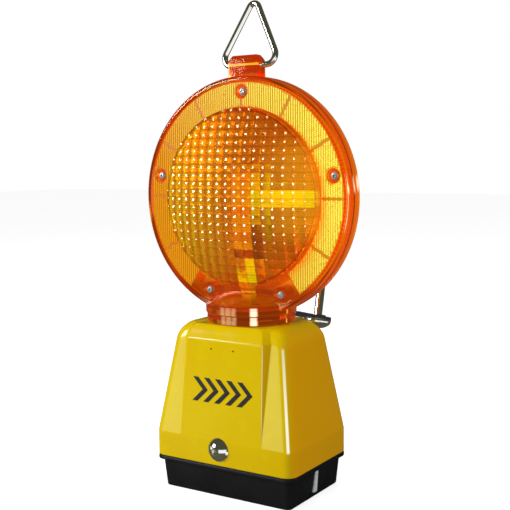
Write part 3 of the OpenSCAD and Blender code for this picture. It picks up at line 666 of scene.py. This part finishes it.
def reflector():
    """Yellow beads in columns over an orange plate; painted light makes it yellower towards the right and
    gives it a faint glow of its own colour.
    """
    finish = Finish("reflector_amber", srgb(196, 112, 8), 0.3, Specular_IOR_Level=0.15)
    # Painted light: plate and beads are painted yellower towards the right.
    side = finish.remap(finish.along((0.94, 0, 0.34), 0.34 * HEAD_Z), -70, 80)
    finish.paint(side, srgb(222, 170, 14))
    bead = finish.mix(side, srgb(224, 152, 0), srgb(255, 240, 84))
    height = finish.calc("ABSOLUTE", finish.along(Y, SEAM_Y))
    finish.paint(finish.remap(height, RING_T - 0.44, RING_T - 0.36), bead)
    column = finish.near_grid(finish.along(X, BEAD_PITCH / 2), BEAD_PITCH, 0.62)
    finish.paint(finish.times(column, finish.remap(finish.along(X), 55, 88, 0.9, 0.4)), srgb(158, 78, 2))
    angle = finish.calc("ARCTAN2", finish.along(Z, HEAD_Z), finish.along(X))
    off_bar = finish.calc("PINGPONG", angle, math.radians(SEGMENT_STEP / 2))
    finish.paint(finish.remap(off_bar, 0.008, 0.018, 0.75, 0.0), srgb(196, 112, 10))
    finish.tint(1.6, srgb(214, 146, 6), 0.56, 0.8)
    # Painted glow: the ring gives off a little light of its own colour.
    finish.set(Emission_Color=finish.now("Base Color"), Emission_Strength=0.2)
    return finish.smudge(2, 0.06).bump(0.5, 0.01).material


def post_plastic(name, glow):
    """Yellow inside parts with a painted glow, as if lit by the lights between them; the foot of the post is
    painted in shade, darker and without glow.
    """
    finish = Finish(name, srgb(226, 214, 20), 0.35, Specular_IOR_Level=0.2)
    finish.set(Emission_Color=(0.39, 1.2, 0.0, 1))
    # Painted glow above POST_DARK_Z, painted shade in darker brown below it.
    high = finish.remap(finish.along(Z), POST_DARK_Z, POST_DARK_Z + 12)
    finish.set(Emission_Strength=finish.times(high, glow))
    finish.paint(finish.other(high), srgb(150, 80, 20))
    return finish.tint(6, srgb(210, 184, 14)).smudge(3, 0.06).bump(1.2, 0.01).material


def pale_moulding():
    finish = Finish("pale_moulding", srgb(222, 222, 214), 0.4)
    return finish.tint(5, srgb(208, 206, 196)).smudge(3, 0.06).bump(0.7, 0.01).material


def circuit_green():
    """Solder mask with copper tracks just under it."""
    finish = Finish("board_green", srgb(22, 88, 52), 0.3, Coat_Weight=0.4, Coat_Roughness=0.2)
    tracks = {"Vector": finish.where, "Scale": 1 / (9 * MM), "Mortar Size": 0.02, "Mortar": srgb(74, 140, 74),
              "Color1": srgb(20, 84, 50), "Color2": srgb(26, 96, 56)}
    finish.set(Base_Color=finish.node("ShaderNodeTexBrick", tracks).outputs["Color"])
    return finish.smudge(2, 0.05).bump(1.0, 0.01).material


def battery_wrap():
    """Blue wrap with a red and a pale band, and no lettering."""
    finish = Finish("battery_wrap", srgb(34, 62, 118), 0.3, Coat_Weight=0.3, Coat_Roughness=0.15)
    height = finish.along(Z, box_mm("battery_case")[0].z)
    for band, colour in ((20, srgb(206, 60, 34)), (74, srgb(216, 214, 206))):
        above = finish.remap(height, band, band + 0.2)
        below = finish.remap(height, band + 7, band + 7.2, 1.0, 0.0)
        finish.paint(finish.times(above, below), colour)
    return finish.smudge(6, 0.06).bump(9, 0.05).bump(0.8, 0.005).material


def print_black():
    finish = Finish("print_black", srgb(14, 14, 14), 0.45)
    return finish.tint(2, srgb(24, 23, 21)).smudge(1.5, 0.1).bump(0.4, 0.006).material


def holder_plastic():
    """Dark holder with painted amber light on it in patches."""
    finish = Finish("holder_plastic", srgb(20, 14, 10), 0.3)
    # Painted light: patches of amber light on the dark plastic.
    finish.tint(7, srgb(168, 84, 12), 0.47, 0.56, (1, 1, 0.6))
    return finish.smudge(2, 0.08).bump(0.6, 0.01).material


def sensor_plastic():
    finish = Finish("sensor_plastic", srgb(150, 40, 30), 0.15, Coat_Weight=0.5)
    return finish.tint(1.2, srgb(120, 30, 24)).smudge(1, 0.05).bump(0.5, 0.004).material


YELLOW = yellow_moulding()
BLACK = black_moulding()
RUBBER = rubber()
CHROME = chrome()
ZINC = zinc()
STEEL = bright_steel("screw_steel", srgb(190, 196, 192), 0.5)
CLIP = bright_steel("clip_steel", srgb(226, 234, 230), 0.0)
BRASS = brass()
SHELL = amber_shell()
LENS = amber_lens()
RESIN = led_resin()
REFLECTOR = reflector()
POST = post_plastic("post_yellow", 1.15)
STRIP = post_plastic("strip_yellow", 0.35)
PALE = pale_moulding()
GREEN = circuit_green()
WRAP = battery_wrap()
PRINT = print_black()
SENSOR = sensor_plastic()
HOLDER = holder_plastic()

CAD_FINISH = (
    (RUBBER, "tray_seal strap_gasket supply_lead head_seal head_lead"),
    (ZINC, "lock_keeper keeper_rivets lock_bush mounting_strap board_screws lock_cam cam_nut bolt_retainer"),
    (BRASS, "battery_springs contact_plates screw_inserts"),
    (BLACK, "battery_lid swivel_turret turret_nut"),
    (PRINT, "front_decal driver_parts mode_switch"),
    (PALE, "contact_carrier mode_slider"),
    (SENSOR, "photocell test_lamp"),
    (CHROME, "lock_screw mounting_bolt"),
    (POST, "led_post light_bar"),
    (RESIN, "front_leds rear_leds"),
    (WRAP, "battery_case"), (GREEN, "circuit_board"), (HOLDER, "led_holder"), (STRIP, "led_boards"),
)
for cad_material, node_names in CAD_FINISH:
    for node_name in node_names.split():
        for material_slot in frame["nodes"][node_name].material_slots:
            material_slot.material = cad_material


# ---------------------------------------------------------------- cover

def rise(table, z):
    """Linear reading of a (value, z) table."""
    for (v0, z0), (v1, z1) in zip(table, table[1:]):
        if z <= z1:
            return v0 + (v1 - v0) * (z - z0) / (z1 - z0)
    return table[-1][0]


def shoulder(skirt, full, inset):
    """Straight wall from the skirt up to SHOULDER_Z, then a rounded shoulder to the roof edge."""
    steps = 10
    squareness = 0.62
    lean = (skirt - full) / (SHOULDER_Z - SKIRT_Z)
    height = ROOF_Z - SHOULDER_Z
    table = [(skirt + SKIRT_STEP, 0), (skirt + SKIRT_STEP, SKIRT_Z - 1.2), (skirt, SKIRT_Z)]
    for i in range(steps + 1):
        t = math.sin(math.pi / 2 * i / steps)
        share = 1 - (1 - t * t) ** squareness
        table.append((full - lean * height * t - (inset - lean * height) * share, SHOULDER_Z + height * t))
    return table


COVER_W = cover_high.x
COVER_D = cover_high.y
BODY_W = shoulder(COVER_W - SKIRT_STEP, full=56.5, inset=14.5)
BODY_D = shoulder(COVER_D - SKIRT_STEP, full=35.3, inset=8)
PANEL_W = [(PANEL_HALF, 0), (PANEL_HALF, SKIRT_Z), (36.8, PANEL_TOP_Z), (36.0, 136), (34.0, 140.5),
           (31.6, ROOF_Z)]
PANEL_D = [(COVER_D, 0), (COVER_D, SKIRT_Z - 2), (COVER_D - 0.25, SKIRT_Z + 1.5), (40.8, PANEL_TOP_Z - 3.5),
           (40.54, PANEL_TOP_Z - 0.5), (40.46, PANEL_TOP_Z), (40.3, PANEL_TOP_Z + 0.4), (38.6, 135),
           (36.7, 139), (35.2, 141.6), (33.6, ROOF_Z)]


def cover_outline(z, off):
    """Cover section: rounded body with a proud panel front and rear."""
    w = rise(BODY_W, z) - off
    d = rise(BODY_D, z) - off
    pw = rise(PANEL_W, z) - off
    proud = max(rise(PANEL_D, z) - off - d, 0.05)
    crown = min(2.4, proud * 0.5)
    foot = min(1.6, proud * 0.35)
    splay = proud * 0.9
    corner = 9.5 - off * 0.8
    pd = d + proud
    points = [(pw, -pd), (pw + splay, -d), (w, -d), (w, d), (pw + splay, d), (pw, pd)]
    points += [(-x, y) for x, y in reversed(points)]
    radii = [crown, foot, corner, corner, foot, crown] * 2
    return fillet(points, radii, 6)


def cover_heights(low, high):
    """Section heights, dense where the form turns."""
    marks = [0, 0.4, 1.2, 8, 16, 20, 21, 21.5, 22.3, 23.5, 26, 40, 55, 70, 85, 95, 98, 99.5,
             101, 102.4, 103, 103.5, 103.9, 104.4, 106, 107.5, 109, 110.3, 111.5, 112.5, 113.3, 114, 114.5]
    return [low + (high - low) * m / marks[-1] for m in marks]


def build_cover():
    """Yellow cover: hollow shell with seat for the strap, neck hole, lock hole and two ports."""
    low = cover_low.z
    outer = []
    for i, z in enumerate(cover_heights(low, ROOF_Z)):
        inset = 0 if i else FOOT_INSET
        outer.append([(p.x, p.y, z) for p in cover_outline(z, inset)])
    inner = []
    for i, z in enumerate(cover_heights(low, ROOF_Z - WALL)):
        reach = z + WALL * (z - low) / (ROOF_Z - WALL - low)
        inset = WALL - (0 if i else FOOT_INSET)
        inner.append([(p.x, p.y, z) for p in cover_outline(reach, inset)])
    cover = make_object("cover_shell", *skin(inner[::-1] + outer))
    centre = upright(swivel.x, swivel.y)
    inside, above = ROOF_Z - WALL - 1, ROOF_Z + 9
    add(cover, rod(centre, TURRET_BOSS_R, 134.5, ROOF_Z - 1.5, 96))
    for x, y in BOARD_POSTS:
        add(cover, rod(upright(x, y), BOARD_POST_R, 123.2, ROOF_Z - 2, 32))
        cut(cover, rod(upright(x, y), PILOT_R, 120, 134, 24))
    cut(cover, rod(centre, TURRET_R, inside, above, 96))
    cut(cover, block(*STRAP_SLOT, inside, above))
    cut(cover, rod(centre, LEAD_HOLE_R, 120, above, 96))
    cut(cover, rod(forwards(lock_axis), LOCK_HOLE_R, -COVER_D - 5, -COVER_D + 7))
    for node in ("photocell", "test_lamp"):
        part_low, part_high = box_mm(node)
        cut(cover, rod(forwards((part_low + part_high) / 2), PORT_R, -COVER_D, -34, 24))
    finish_piece(cover, YELLOW, "housing", "cover", 30)


# ---------------------------------------------------------------- tray

def clip_wedge(side, grow, proud):
    """Side clip as a wedge that narrows towards its top; grown and proud when it cuts its own seat."""
    low, high = box_mm("side_clips")
    outline = [(low.y + 3 - grow, low.z - grow), (high.y + grow, low.z - grow),
               (high.y + grow, high.z + grow), (high.y - 4.4 - grow, high.z + grow)]
    rings = []
    for inset, shrink in ((4.6 + grow, 1), (0.3 - proud, 1), (-proud, 0.96)):
        ring = []
        for p in fillet(outline, [0.5] * 4, 3):
            outer = 63.7 + 1.35 * (p.y - low.z) / (high.z - low.z)
            ring.append((side * (outer - inset), high.y - 3 + (p.x - high.y + 3) * shrink, p.y))
        rings.append(ring)
    return make_object("tool", *skin(rings))


def build_tray():
    """Black battery tray: tapered tub, flange and upstand, with cradle ribs and a lock notch."""
    flange_top = tray_high.z - 8.5
    flange_low = flange_top - 3
    w, d = tray_high.x, tray_high.y
    # Half width, half depth, corner radius and height: up the outside, over the rim and down the inside
    sections = [(60.8, 39.8, 3.2, 0), (61.6, 40.6, 3.8, 0.3), (62, 41, 4, 1.1),
                (64.7, 43.7, 7, flange_low - 0.6), (65.2, 44.2, 7.4, flange_low),
                (w - 0.7, d - 0.7, 8.4, flange_low), (w - 0.2, d - 0.2, 8.8, flange_low + 0.2),
                (w, d, 9, flange_low + 0.7), (w, d, 9, flange_top - 0.7),
                (w - 0.2, d - 0.2, 8.8, flange_top - 0.2), (w - 0.7, d - 0.7, 8.4, flange_top),
                (64.75, 44.2, 5.5, flange_top), (64.75, 44.2, 5.5, tray_high.z - 0.6),
                (64.25, 43.7, 5, tray_high.z), (62.75, 42.2, 3.6, tray_high.z),
                (62.25, 41.7, 3.2, tray_high.z - 0.6), (62.25, 41.7, 3.2, 26.5),
                (61.6, 40.6, 3.2, 26), (59.4, 38.4, 3, 4.2), (58.4, 37.4, 2.4, 3)]
    rings = []
    for a, b, radius, z in sections:
        outline = fillet([(a, -b), (a, b), (-a, b), (-a, -b)], [radius] * 4, 8)
        rings.append([(p.x, p.y, z) for p in outline])
    tray = make_object("tray_shell", *skin(rings))
    battery_low, battery_high = box_mm("battery_case")
    battery_y = (battery_low.y + battery_high.y) / 2
    for x in (-35.2, 35.2):
        add(tray, block(x - 1.2, x + 1.2, battery_y - 25, battery_y + 25, 2, 19))
    cut(tray, block(lock_axis.x - 14, lock_axis.x + 11, -60, -35, 29, 60))
    for side in (-1, 1):
        cut(tray, clip_wedge(side, 0.1, 1.5))
    rivets_low, rivets_high = box_mm("keeper_rivets")
    for x in (rivets_low.x + 2.4, rivets_high.x - 2.4):
        cut(tray, rod(forwards(Vector((x, 0, 32))), 1.6, -50, -36, 24))
    finish_piece(tray, BLACK, "base", "battery_tray", 30)


# ---------------------------------------------------------------- lamp head

def neck_outline(r0, z0, low):
    """Neck section whose blend rises towards its crown."""
    steps = 20
    points = [(0, low), (r0 - 1, low), (r0 - 1, NECK_STEP_Z - 1), (r0, NECK_STEP_Z)]
    if low < NECK_Z:
        points = [(0, low), (r0, low)]
    for i in range(steps + 1):
        s = 1 - i / steps
        points.append((BLEND_R + (r0 - BLEND_R) * s, z0 + BLEND_H * (1 - s ** 1.7)))
    return points + [(0, z0 + BLEND_H)]


def loop_block():
    """Eye for the bail on top of the rim, with bevelled ends and a rounded crest."""
    root = HEAD_Z + HEAD_R - 2.5
    rings = []
    half = [(14.3, LOOP_TOP - 3.2), (13.9, LOOP_TOP - 2.6), (11.6, LOOP_TOP - 0.3), (10.8, LOOP_TOP)]
    for x, top in [(-x, top) for x, top in half] + half[::-1]:
        outline = fillet([(-6, root), (6, root), (6, top), (-6, top)], [0, 0, 3.4, 3.4], 6)
        rings.append([(x, SEAM_Y + p.x, p.y) for p in outline])
    sideways = lambda x, y, h: Vector((h, SEAM_Y + x, bail_pivot.z + y))
    return cut(make_object("tool", *skin(rings)), rod(sideways, EYE_HOLE_R, -30, 30, 32))


def head_blank():
    """Both head shells in one solid: rim, face rings, neck and eye."""
    notch = 0.5
    beyond = 20
    hole_r = LENS_R + LENS_GAP
    neck_in_r = NECK_R - NECK_WALL
    about_neck = upright(swivel.x, swivel.y)
    points = [(0, -FACE_T), (LIP_R, -FACE_T), (LIP_R, -RIM_T), (HEAD_R, -RIM_T),
              (HEAD_R, -notch), (HEAD_R - notch, 0), (HEAD_R, notch),
              (HEAD_R, RIM_T), (LIP_R, RIM_T), (LIP_R, FACE_T), (0, FACE_T)]
    radii = [0, 0.3, 0.45, 2.4, 0.15, 0, 0.15, 2.4, 0.45, 0.3, 0]
    blank = turned(fillet(points, radii, 5), front, 240)
    add(blank, turned(neck_outline(NECK_R, NECK_BLEND_Z, NECK_Z), about_neck, 128))
    cavity = [(0, -beyond), (hole_r, -beyond), (hole_r, -FACE_IN), (CAVITY_R, -FACE_IN),
              (CAVITY_R, FACE_IN), (hole_r, FACE_IN), (hole_r, beyond), (0, beyond)]
    hollow = turned(fillet(cavity, [0, 0, 0, 1.2, 1.2, 0, 0, 0], 4), front, 240)
    add(hollow, turned(neck_outline(neck_in_r, NECK_BLEND_Z - NECK_WALL, NECK_Z - 1), about_neck, 128))
    cut(blank, hollow)
    lip_r = neck_in_r + 0.5
    lip = [(CORE_R, LIP_Z0), (lip_r, LIP_Z0), (lip_r, NECK_STEP_Z), (CORE_R, NECK_STEP_Z)]
    add(blank, turned(lip, about_neck, 128))
    add(blank, loop_block())
    for place in screw_places(front):
        add(blank, rod(place, SCREW_BOSS_R, -FACE_T + 0.5, FACE_T - 0.5, 40))
    return blank


def ring_sector(place, low, high, grow):
    """Outline turned into the sector of the face that the reflector takes up."""
    outline = [(RING_R0 - grow, low), (RING_R1 + grow, low), (RING_R1 + grow, high), (RING_R0 - grow, high)]
    return turned(outline, place, 180, RING_START, RING_SWEEP)


def build_shells():
    """Front and rear amber shells, cut from the blank at the seam."""
    blank = head_blank()
    for name, node, place, side in (("front_head_shell", "front_shell", front, -1),
                                    ("rear_head_shell", "rear_shell", rear, 1)):
        near = SEAM_Y + side * SEAM_GAP
        shell = blank.copy()
        shell.data = blank.data.copy()
        shell.name = name
        scene.collection.objects.link(shell)
        combine(shell, block(-150, 150, *sorted((near, near + side * 200)), 100, 420), "INTERSECT")
        cut(shell, ring_sector(place, RING_T - 1.05, 30, 0.1))
        for screw in screw_places(place):
            if side < 0:
                cut(shell, rod(screw, COUNTERBORE_R, SCREW_SEAT_T, 20))
                cut(shell, rod(screw, SCREW_HOLE_R, -5, 20, 32))
            else:
                cut(shell, rod(screw, INSERT_R, -5, 7.5, 32))
        tidy(shell)
        finish_piece(shell, SHELL, "head", node, 34)
    remove(blank)


def cap_radius():
    """Radius of the sphere that the lens's cap belongs to."""
    return (LENS_R ** 2 + LENS_RISE ** 2) / (2 * LENS_RISE)


def lens_height(x, y):
    """Height of the pillowed lens face above the seam."""
    cap = math.sqrt(max(cap_radius() ** 2 - x * x - y * y, 0)) - cap_radius()
    u = (x / CELL_W) % 1 - 0.5
    v = (y / CELL_H) % 1 - 0.5
    return LENS_TOP - PILLOW_W - PILLOW_H + cap + PILLOW_W * (1 - 4 * u * u) + PILLOW_H * (1 - 4 * v * v)


def build_lens(name, node, place):
    """Domed lens: pillow cells over a shallow cap, straight wall and hidden flange."""
    per_cell = 8
    xs, ys = [], []
    for values, cell in ((xs, CELL_W), (ys, CELL_H)):
        reach = (math.ceil(LENS_R / cell) + 1) * per_cell
        values += [i * cell / per_cell for i in range(-reach, reach + 1)]
    low = FACE_IN - 3
    nx, ny, below = len(xs), len(ys), len(xs) * len(ys)
    points = [place(x, y, lens_height(x, y)) for y in ys for x in xs]
    points += [place(x, y, low) for y in ys for x in xs]
    faces = [(a, a + 1, a + nx + 1, a + nx) for j in range(ny - 1) for a in range(j * nx, j * nx + nx - 1)]
    rim = list(range(nx)) + [j * nx + nx - 1 for j in range(1, ny)]
    rim += [(ny - 1) * nx + i for i in range(nx - 2, -1, -1)] + [j * nx for j in range(ny - 2, 0, -1)]
    faces += [(a, b, b + below, a + below) for a, b in zip(rim, rim[1:] + rim[:1])]
    faces.append(tuple(i + below for i in rim))
    lens = make_object(name, points, faces)
    flange = FACE_IN - 0.1
    outer = [(0, low + 0.6), (LENS_FLANGE_R, low + 0.6), (LENS_FLANGE_R, flange), (LENS_R, flange),
             (LENS_R, 40), (0, 40)]
    combine(lens, turned(outer, place, 240), "INTERSECT")
    cap_r = cap_radius() - LENS_THICK
    in_r = LENS_R - LENS_THICK
    centre = LENS_TOP - 1.2 - LENS_THICK - cap_r
    steps = 16
    inner = [(0, low - 1), (in_r, low - 1)]
    for i in range(steps, -1, -1):
        angle = math.asin(in_r / cap_r) * i / steps
        inner.append((cap_r * math.sin(angle), centre + cap_r * math.cos(angle)))
    cut(lens, turned(inner, place, 240))
    for screw in screw_places(place):
        cut(lens, rod(screw, SCREW_BOSS_R + 0.2, -5, 8, 40))
    tidy(lens)
    finish_piece(lens, LENS, "head", node, 14)


def bead(place, x, y, base):
    """Six-sided bead with a bevelled top, points and faces."""
    points = []
    for scale, t in ((1, base), (0.9, base + BEAD_T * 0.6), (0.5, base + BEAD_T)):
        for k in range(6):
            a = math.pi / 3 * k
            points.append(place(x + BEAD_W * scale * math.cos(a), y + BEAD_H * scale * math.sin(a), t))
    faces = []
    for level in (0, 6):
        for k in range(6):
            faces.append((level + k, level + (k + 1) % 6, level + 6 + (k + 1) % 6, level + 6 + k))
    faces.append(tuple(range(12, 18)))
    return points, faces


def bead_fits(x, y):
    """Whether a bead there keeps off the ring's edges, its radial bars, the screws and the neck."""
    r = math.hypot(x, y)
    if not RING_R0 + 0.9 < r < RING_R1 - 0.9:
        return False
    angle = math.degrees(math.atan2(y, x))
    if angle < RING_START:
        angle += 360
    edge = math.degrees(1.2 / r)
    off_bar = (angle + SEGMENT_STEP / 2) % SEGMENT_STEP - SEGMENT_STEP / 2
    return (RING_START + edge < angle < RING_START + RING_SWEEP - edge
            and abs(math.radians(off_bar)) * r >= BAR_HALF
            and all(math.hypot(x - sx, y - sy) >= COUNTERBORE_R + 1.7 for sx, sy in SCREW_SPOTS)
            and not (HEAD_Z + y < RING_LOW_Z + 1 and abs(x) < NECK_R + 1))


def build_reflector(name, node, place):
    """Retroreflective ring: a pocketed plate with beads in upright columns, plain at the radial bars."""
    plate_top = RING_T - 0.45
    corners = [(RING_R0, RING_T - 1), (RING_R1, RING_T - 1), (RING_R1, plate_top), (RING_R0, plate_top)]
    plate = turned(fillet(corners, [0, 0, 0.15, 0.15], 2), place, 180, RING_START, RING_SWEEP)
    for screw in screw_places(place):
        cut(plate, rod(screw, COUNTERBORE_R + 0.4, -5, 20, 40))
    cut(plate, block(-NECK_R, NECK_R, -60, 60, 100, RING_LOW_Z))
    points, faces = [], []
    for i in range(-46, 47):
        for j in range(-60, 61):
            x, y = i * BEAD_PITCH, (j + (0.5 if i % 2 else 0)) * BEAD_ROW
            if bead_fits(x, y):
                start = len(points)
                more, sides = bead(place, x, y, plate_top - 0.05)
                points += more
                faces += [tuple(start + k for k in f) for f in sides]
    ring = join(name, [plate, make_object("tool", points, faces)])
    finish_piece(ring, REFLECTOR, "head", node, 20)


def build_clips():
    """Bright clip let into each side of the tray."""
    clips = join("side_clip_wedges", [clip_wedge(side, 0, 0) for side in (-1, 1)])
    finish_piece(clips, CLIP, "base", "side_clips", 40)


def build_screws():
    """Five pan-head screws with cross recesses."""
    seat = SCREW_SEAT_T + 0.05
    outline = fillet([(0, -6.5), (2, -6.5), (2, seat), (3.4, seat), (3.4, seat + 0.7), (2.9, seat + 1.7),
                      (2.0, seat + 2.25), (0, seat + 2.4)], [0, 0, 0, 0.15, 0.5, 0.9, 0.8, 0], 3)
    parts = []
    for place in screw_places(front):
        screw = turned(outline, place, 40)
        for wide, high in ((2.0, 0.55), (0.55, 2.0)):
            rings = []
            for t, scale in ((seat + 0.9, 0.6), (seat + 4, 1.25)):
                w, h = (wide * scale, high) if wide > high else (wide, high * scale)
                rings.append([place(x, y, t) for x, y in ((-w, -h), (w, -h), (w, h), (-w, h))])
            cut(screw, make_object("tool", *skin(rings)))
        parts.append(screw)
    finish_piece(join("head_screw_set", parts), STEEL, "head", "head_screws", 35)


# ---------------------------------------------------------------- bail

def build_bail():
    """Triangular hanging bail: one round wire through the eye."""
    width, height = 59.5, 58
    foot_r, apex_r, wire_r = 8, 4.8, 2.5
    lean = math.radians(10)
    low, high = box_mm("bail")
    middle = (low.x + high.x) / 2
    outline = fillet([(-width / 2, 0), (width / 2, 0), (0, height)], [foot_r, foot_r, apex_r], 12)
    path = [Vector((middle + p.x, bail_pivot.y + p.y * math.sin(lean), bail_pivot.z + p.y * math.cos(lean)))
            for p in outline]
    bail = make_object("bail_wire", *tube(path, wire_r, 28))
    finish_piece(bail, CHROME, "bail", "bail", 60)


build_cover()
build_tray()
build_shells()
build_lens("front_pillow_lens", "front_lens", front)
build_lens("rear_pillow_lens", "rear_lens", rear)
build_reflector("front_reflector_ring", "front_reflector", front)
build_reflector("rear_reflector_ring", "rear_reflector", rear)
build_screws()
build_clips()
build_bail()


# ---------------------------------------------------------------- stage, light and camera

# Angles in degrees, lengths in metres
CAMERA_AZIMUTH = 32.7
CAMERA_ELEVATION = 5.84
CAMERA_ROLL = -0.57
CAMERA_DISTANCE = 0.8098
CAMERA_AIM = Vector((0.0027, 0.0042, 0.1983))
CAMERA_LENS = 67.47
LIGHT_TARGET = Vector((0, 0, 0.2))


def direction(azimuth, elevation):
    """Unit vector from the object towards an azimuth and elevation in degrees."""
    a, e = math.radians(azimuth), math.radians(elevation)
    return Vector((math.sin(a) * math.cos(e), -math.cos(a) * math.cos(e), math.sin(e)))


def make_camera():
    """Camera to the right of the front, a little above the object's middle."""
    camera = bpy.data.objects.new("camera", bpy.data.cameras.new("camera"))
    scene.collection.objects.link(camera)
    camera.data.lens = CAMERA_LENS
    camera.data.sensor_width = 36
    camera.data.clip_start = 0.01
    back = direction(CAMERA_AZIMUTH, CAMERA_ELEVATION)
    camera.location = CAMERA_AIM + back * CAMERA_DISTANCE
    camera.rotation_mode = "QUATERNION"
    level = (-back).to_track_quat("-Z", "Y")
    camera.rotation_quaternion = level @ Quaternion(Z, math.radians(CAMERA_ROLL))
    scene.camera = camera


def area_light(name, azimuth, elevation, distance, width, height, power, seen=True):
    """Soft rectangular light that faces the target."""
    lamp = bpy.data.lights.new(name, "AREA")
    lamp.shape = "RECTANGLE"
    lamp.size = width
    lamp.size_y = height
    lamp.energy = power
    light = bpy.data.objects.new(name, lamp)
    scene.collection.objects.link(light)
    toward = direction(azimuth, elevation)
    light.location = LIGHT_TARGET + toward * distance
    light.visible_glossy = seen
    light.rotation_mode = "QUATERNION"
    light.rotation_quaternion = (-toward).to_track_quat("-Z", "Y")


def make_floor():
    """Large pale floor: white to the camera, quieter in reflections and in bounced light."""
    reach = 6000
    corners = [(-reach, -reach, 0), (reach, -reach, 0), (reach, reach, 0), (-reach, reach, 0)]
    floor = make_object("floor", corners, [(0, 1, 2, 3)])
    finish = Finish("pale_floor", (0.4, 0.4, 0.4, 1), 0.6, Specular_IOR_Level=0.1)
    finish.set(Emission_Color=(1, 1, 1, 1))
    finish.tint(400, (0.38, 0.38, 0.38, 1)).bump(5, 0.02)
    ray = finish.node("ShaderNodeLightPath").outputs
    seen = finish.calc("MAXIMUM", ray["Is Camera Ray"], ray["Is Transmission Ray"])
    finish.paint(seen, (0.9, 0.9, 0.9, 1)).paint(ray["Is Glossy Ray"], (0.08, 0.08, 0.08, 1))
    finish.set(Emission_Strength=finish.times(seen, 0.62))
    floor.data.materials.append(finish.material)


def make_world():
    """White where the camera sees it or looks through plastic, dark in reflections."""
    scene.world = bpy.data.worlds.new("studio")
    scene.world.use_nodes = True
    tree = scene.world.node_tree
    background = tree.nodes["Background"]
    background.inputs["Color"].default_value = (1, 1, 1, 1)
    ray = tree.nodes.new("ShaderNodeLightPath").outputs
    strength = 0.42
    for kind, value in (("Is Glossy Ray", 0.03), ("Is Transmission Ray", 0.6), ("Is Camera Ray", 1.0)):
        pick = tree.nodes.new("ShaderNodeMix")
        for socket, source in zip(pick.inputs, (ray[kind], None, strength, value)):
            if source is not None:
                connect(tree, source, socket)
        strength = pick.outputs[0]
    connect(tree, strength, background.inputs["Strength"])


make_camera()
make_floor()
make_world()
area_light("left_softbox", -43, 17, 1.6, 0.5, 0.45, 19)
area_light("right_fill", 100, 25, 1.6, 1.0, 1.0, 8.2, seen=False)
area_light("top_fill", 0, 80, 1.6, 1.2, 1.2, 1.2, seen=False)
area_light("front_fill", 10, 5, 1.8, 1.0, 1.0, 4.5, seen=False)

scene.view_settings.view_transform = "Standard"
scene.view_settings.look = "None"
scene.cycles.use_denoising = True
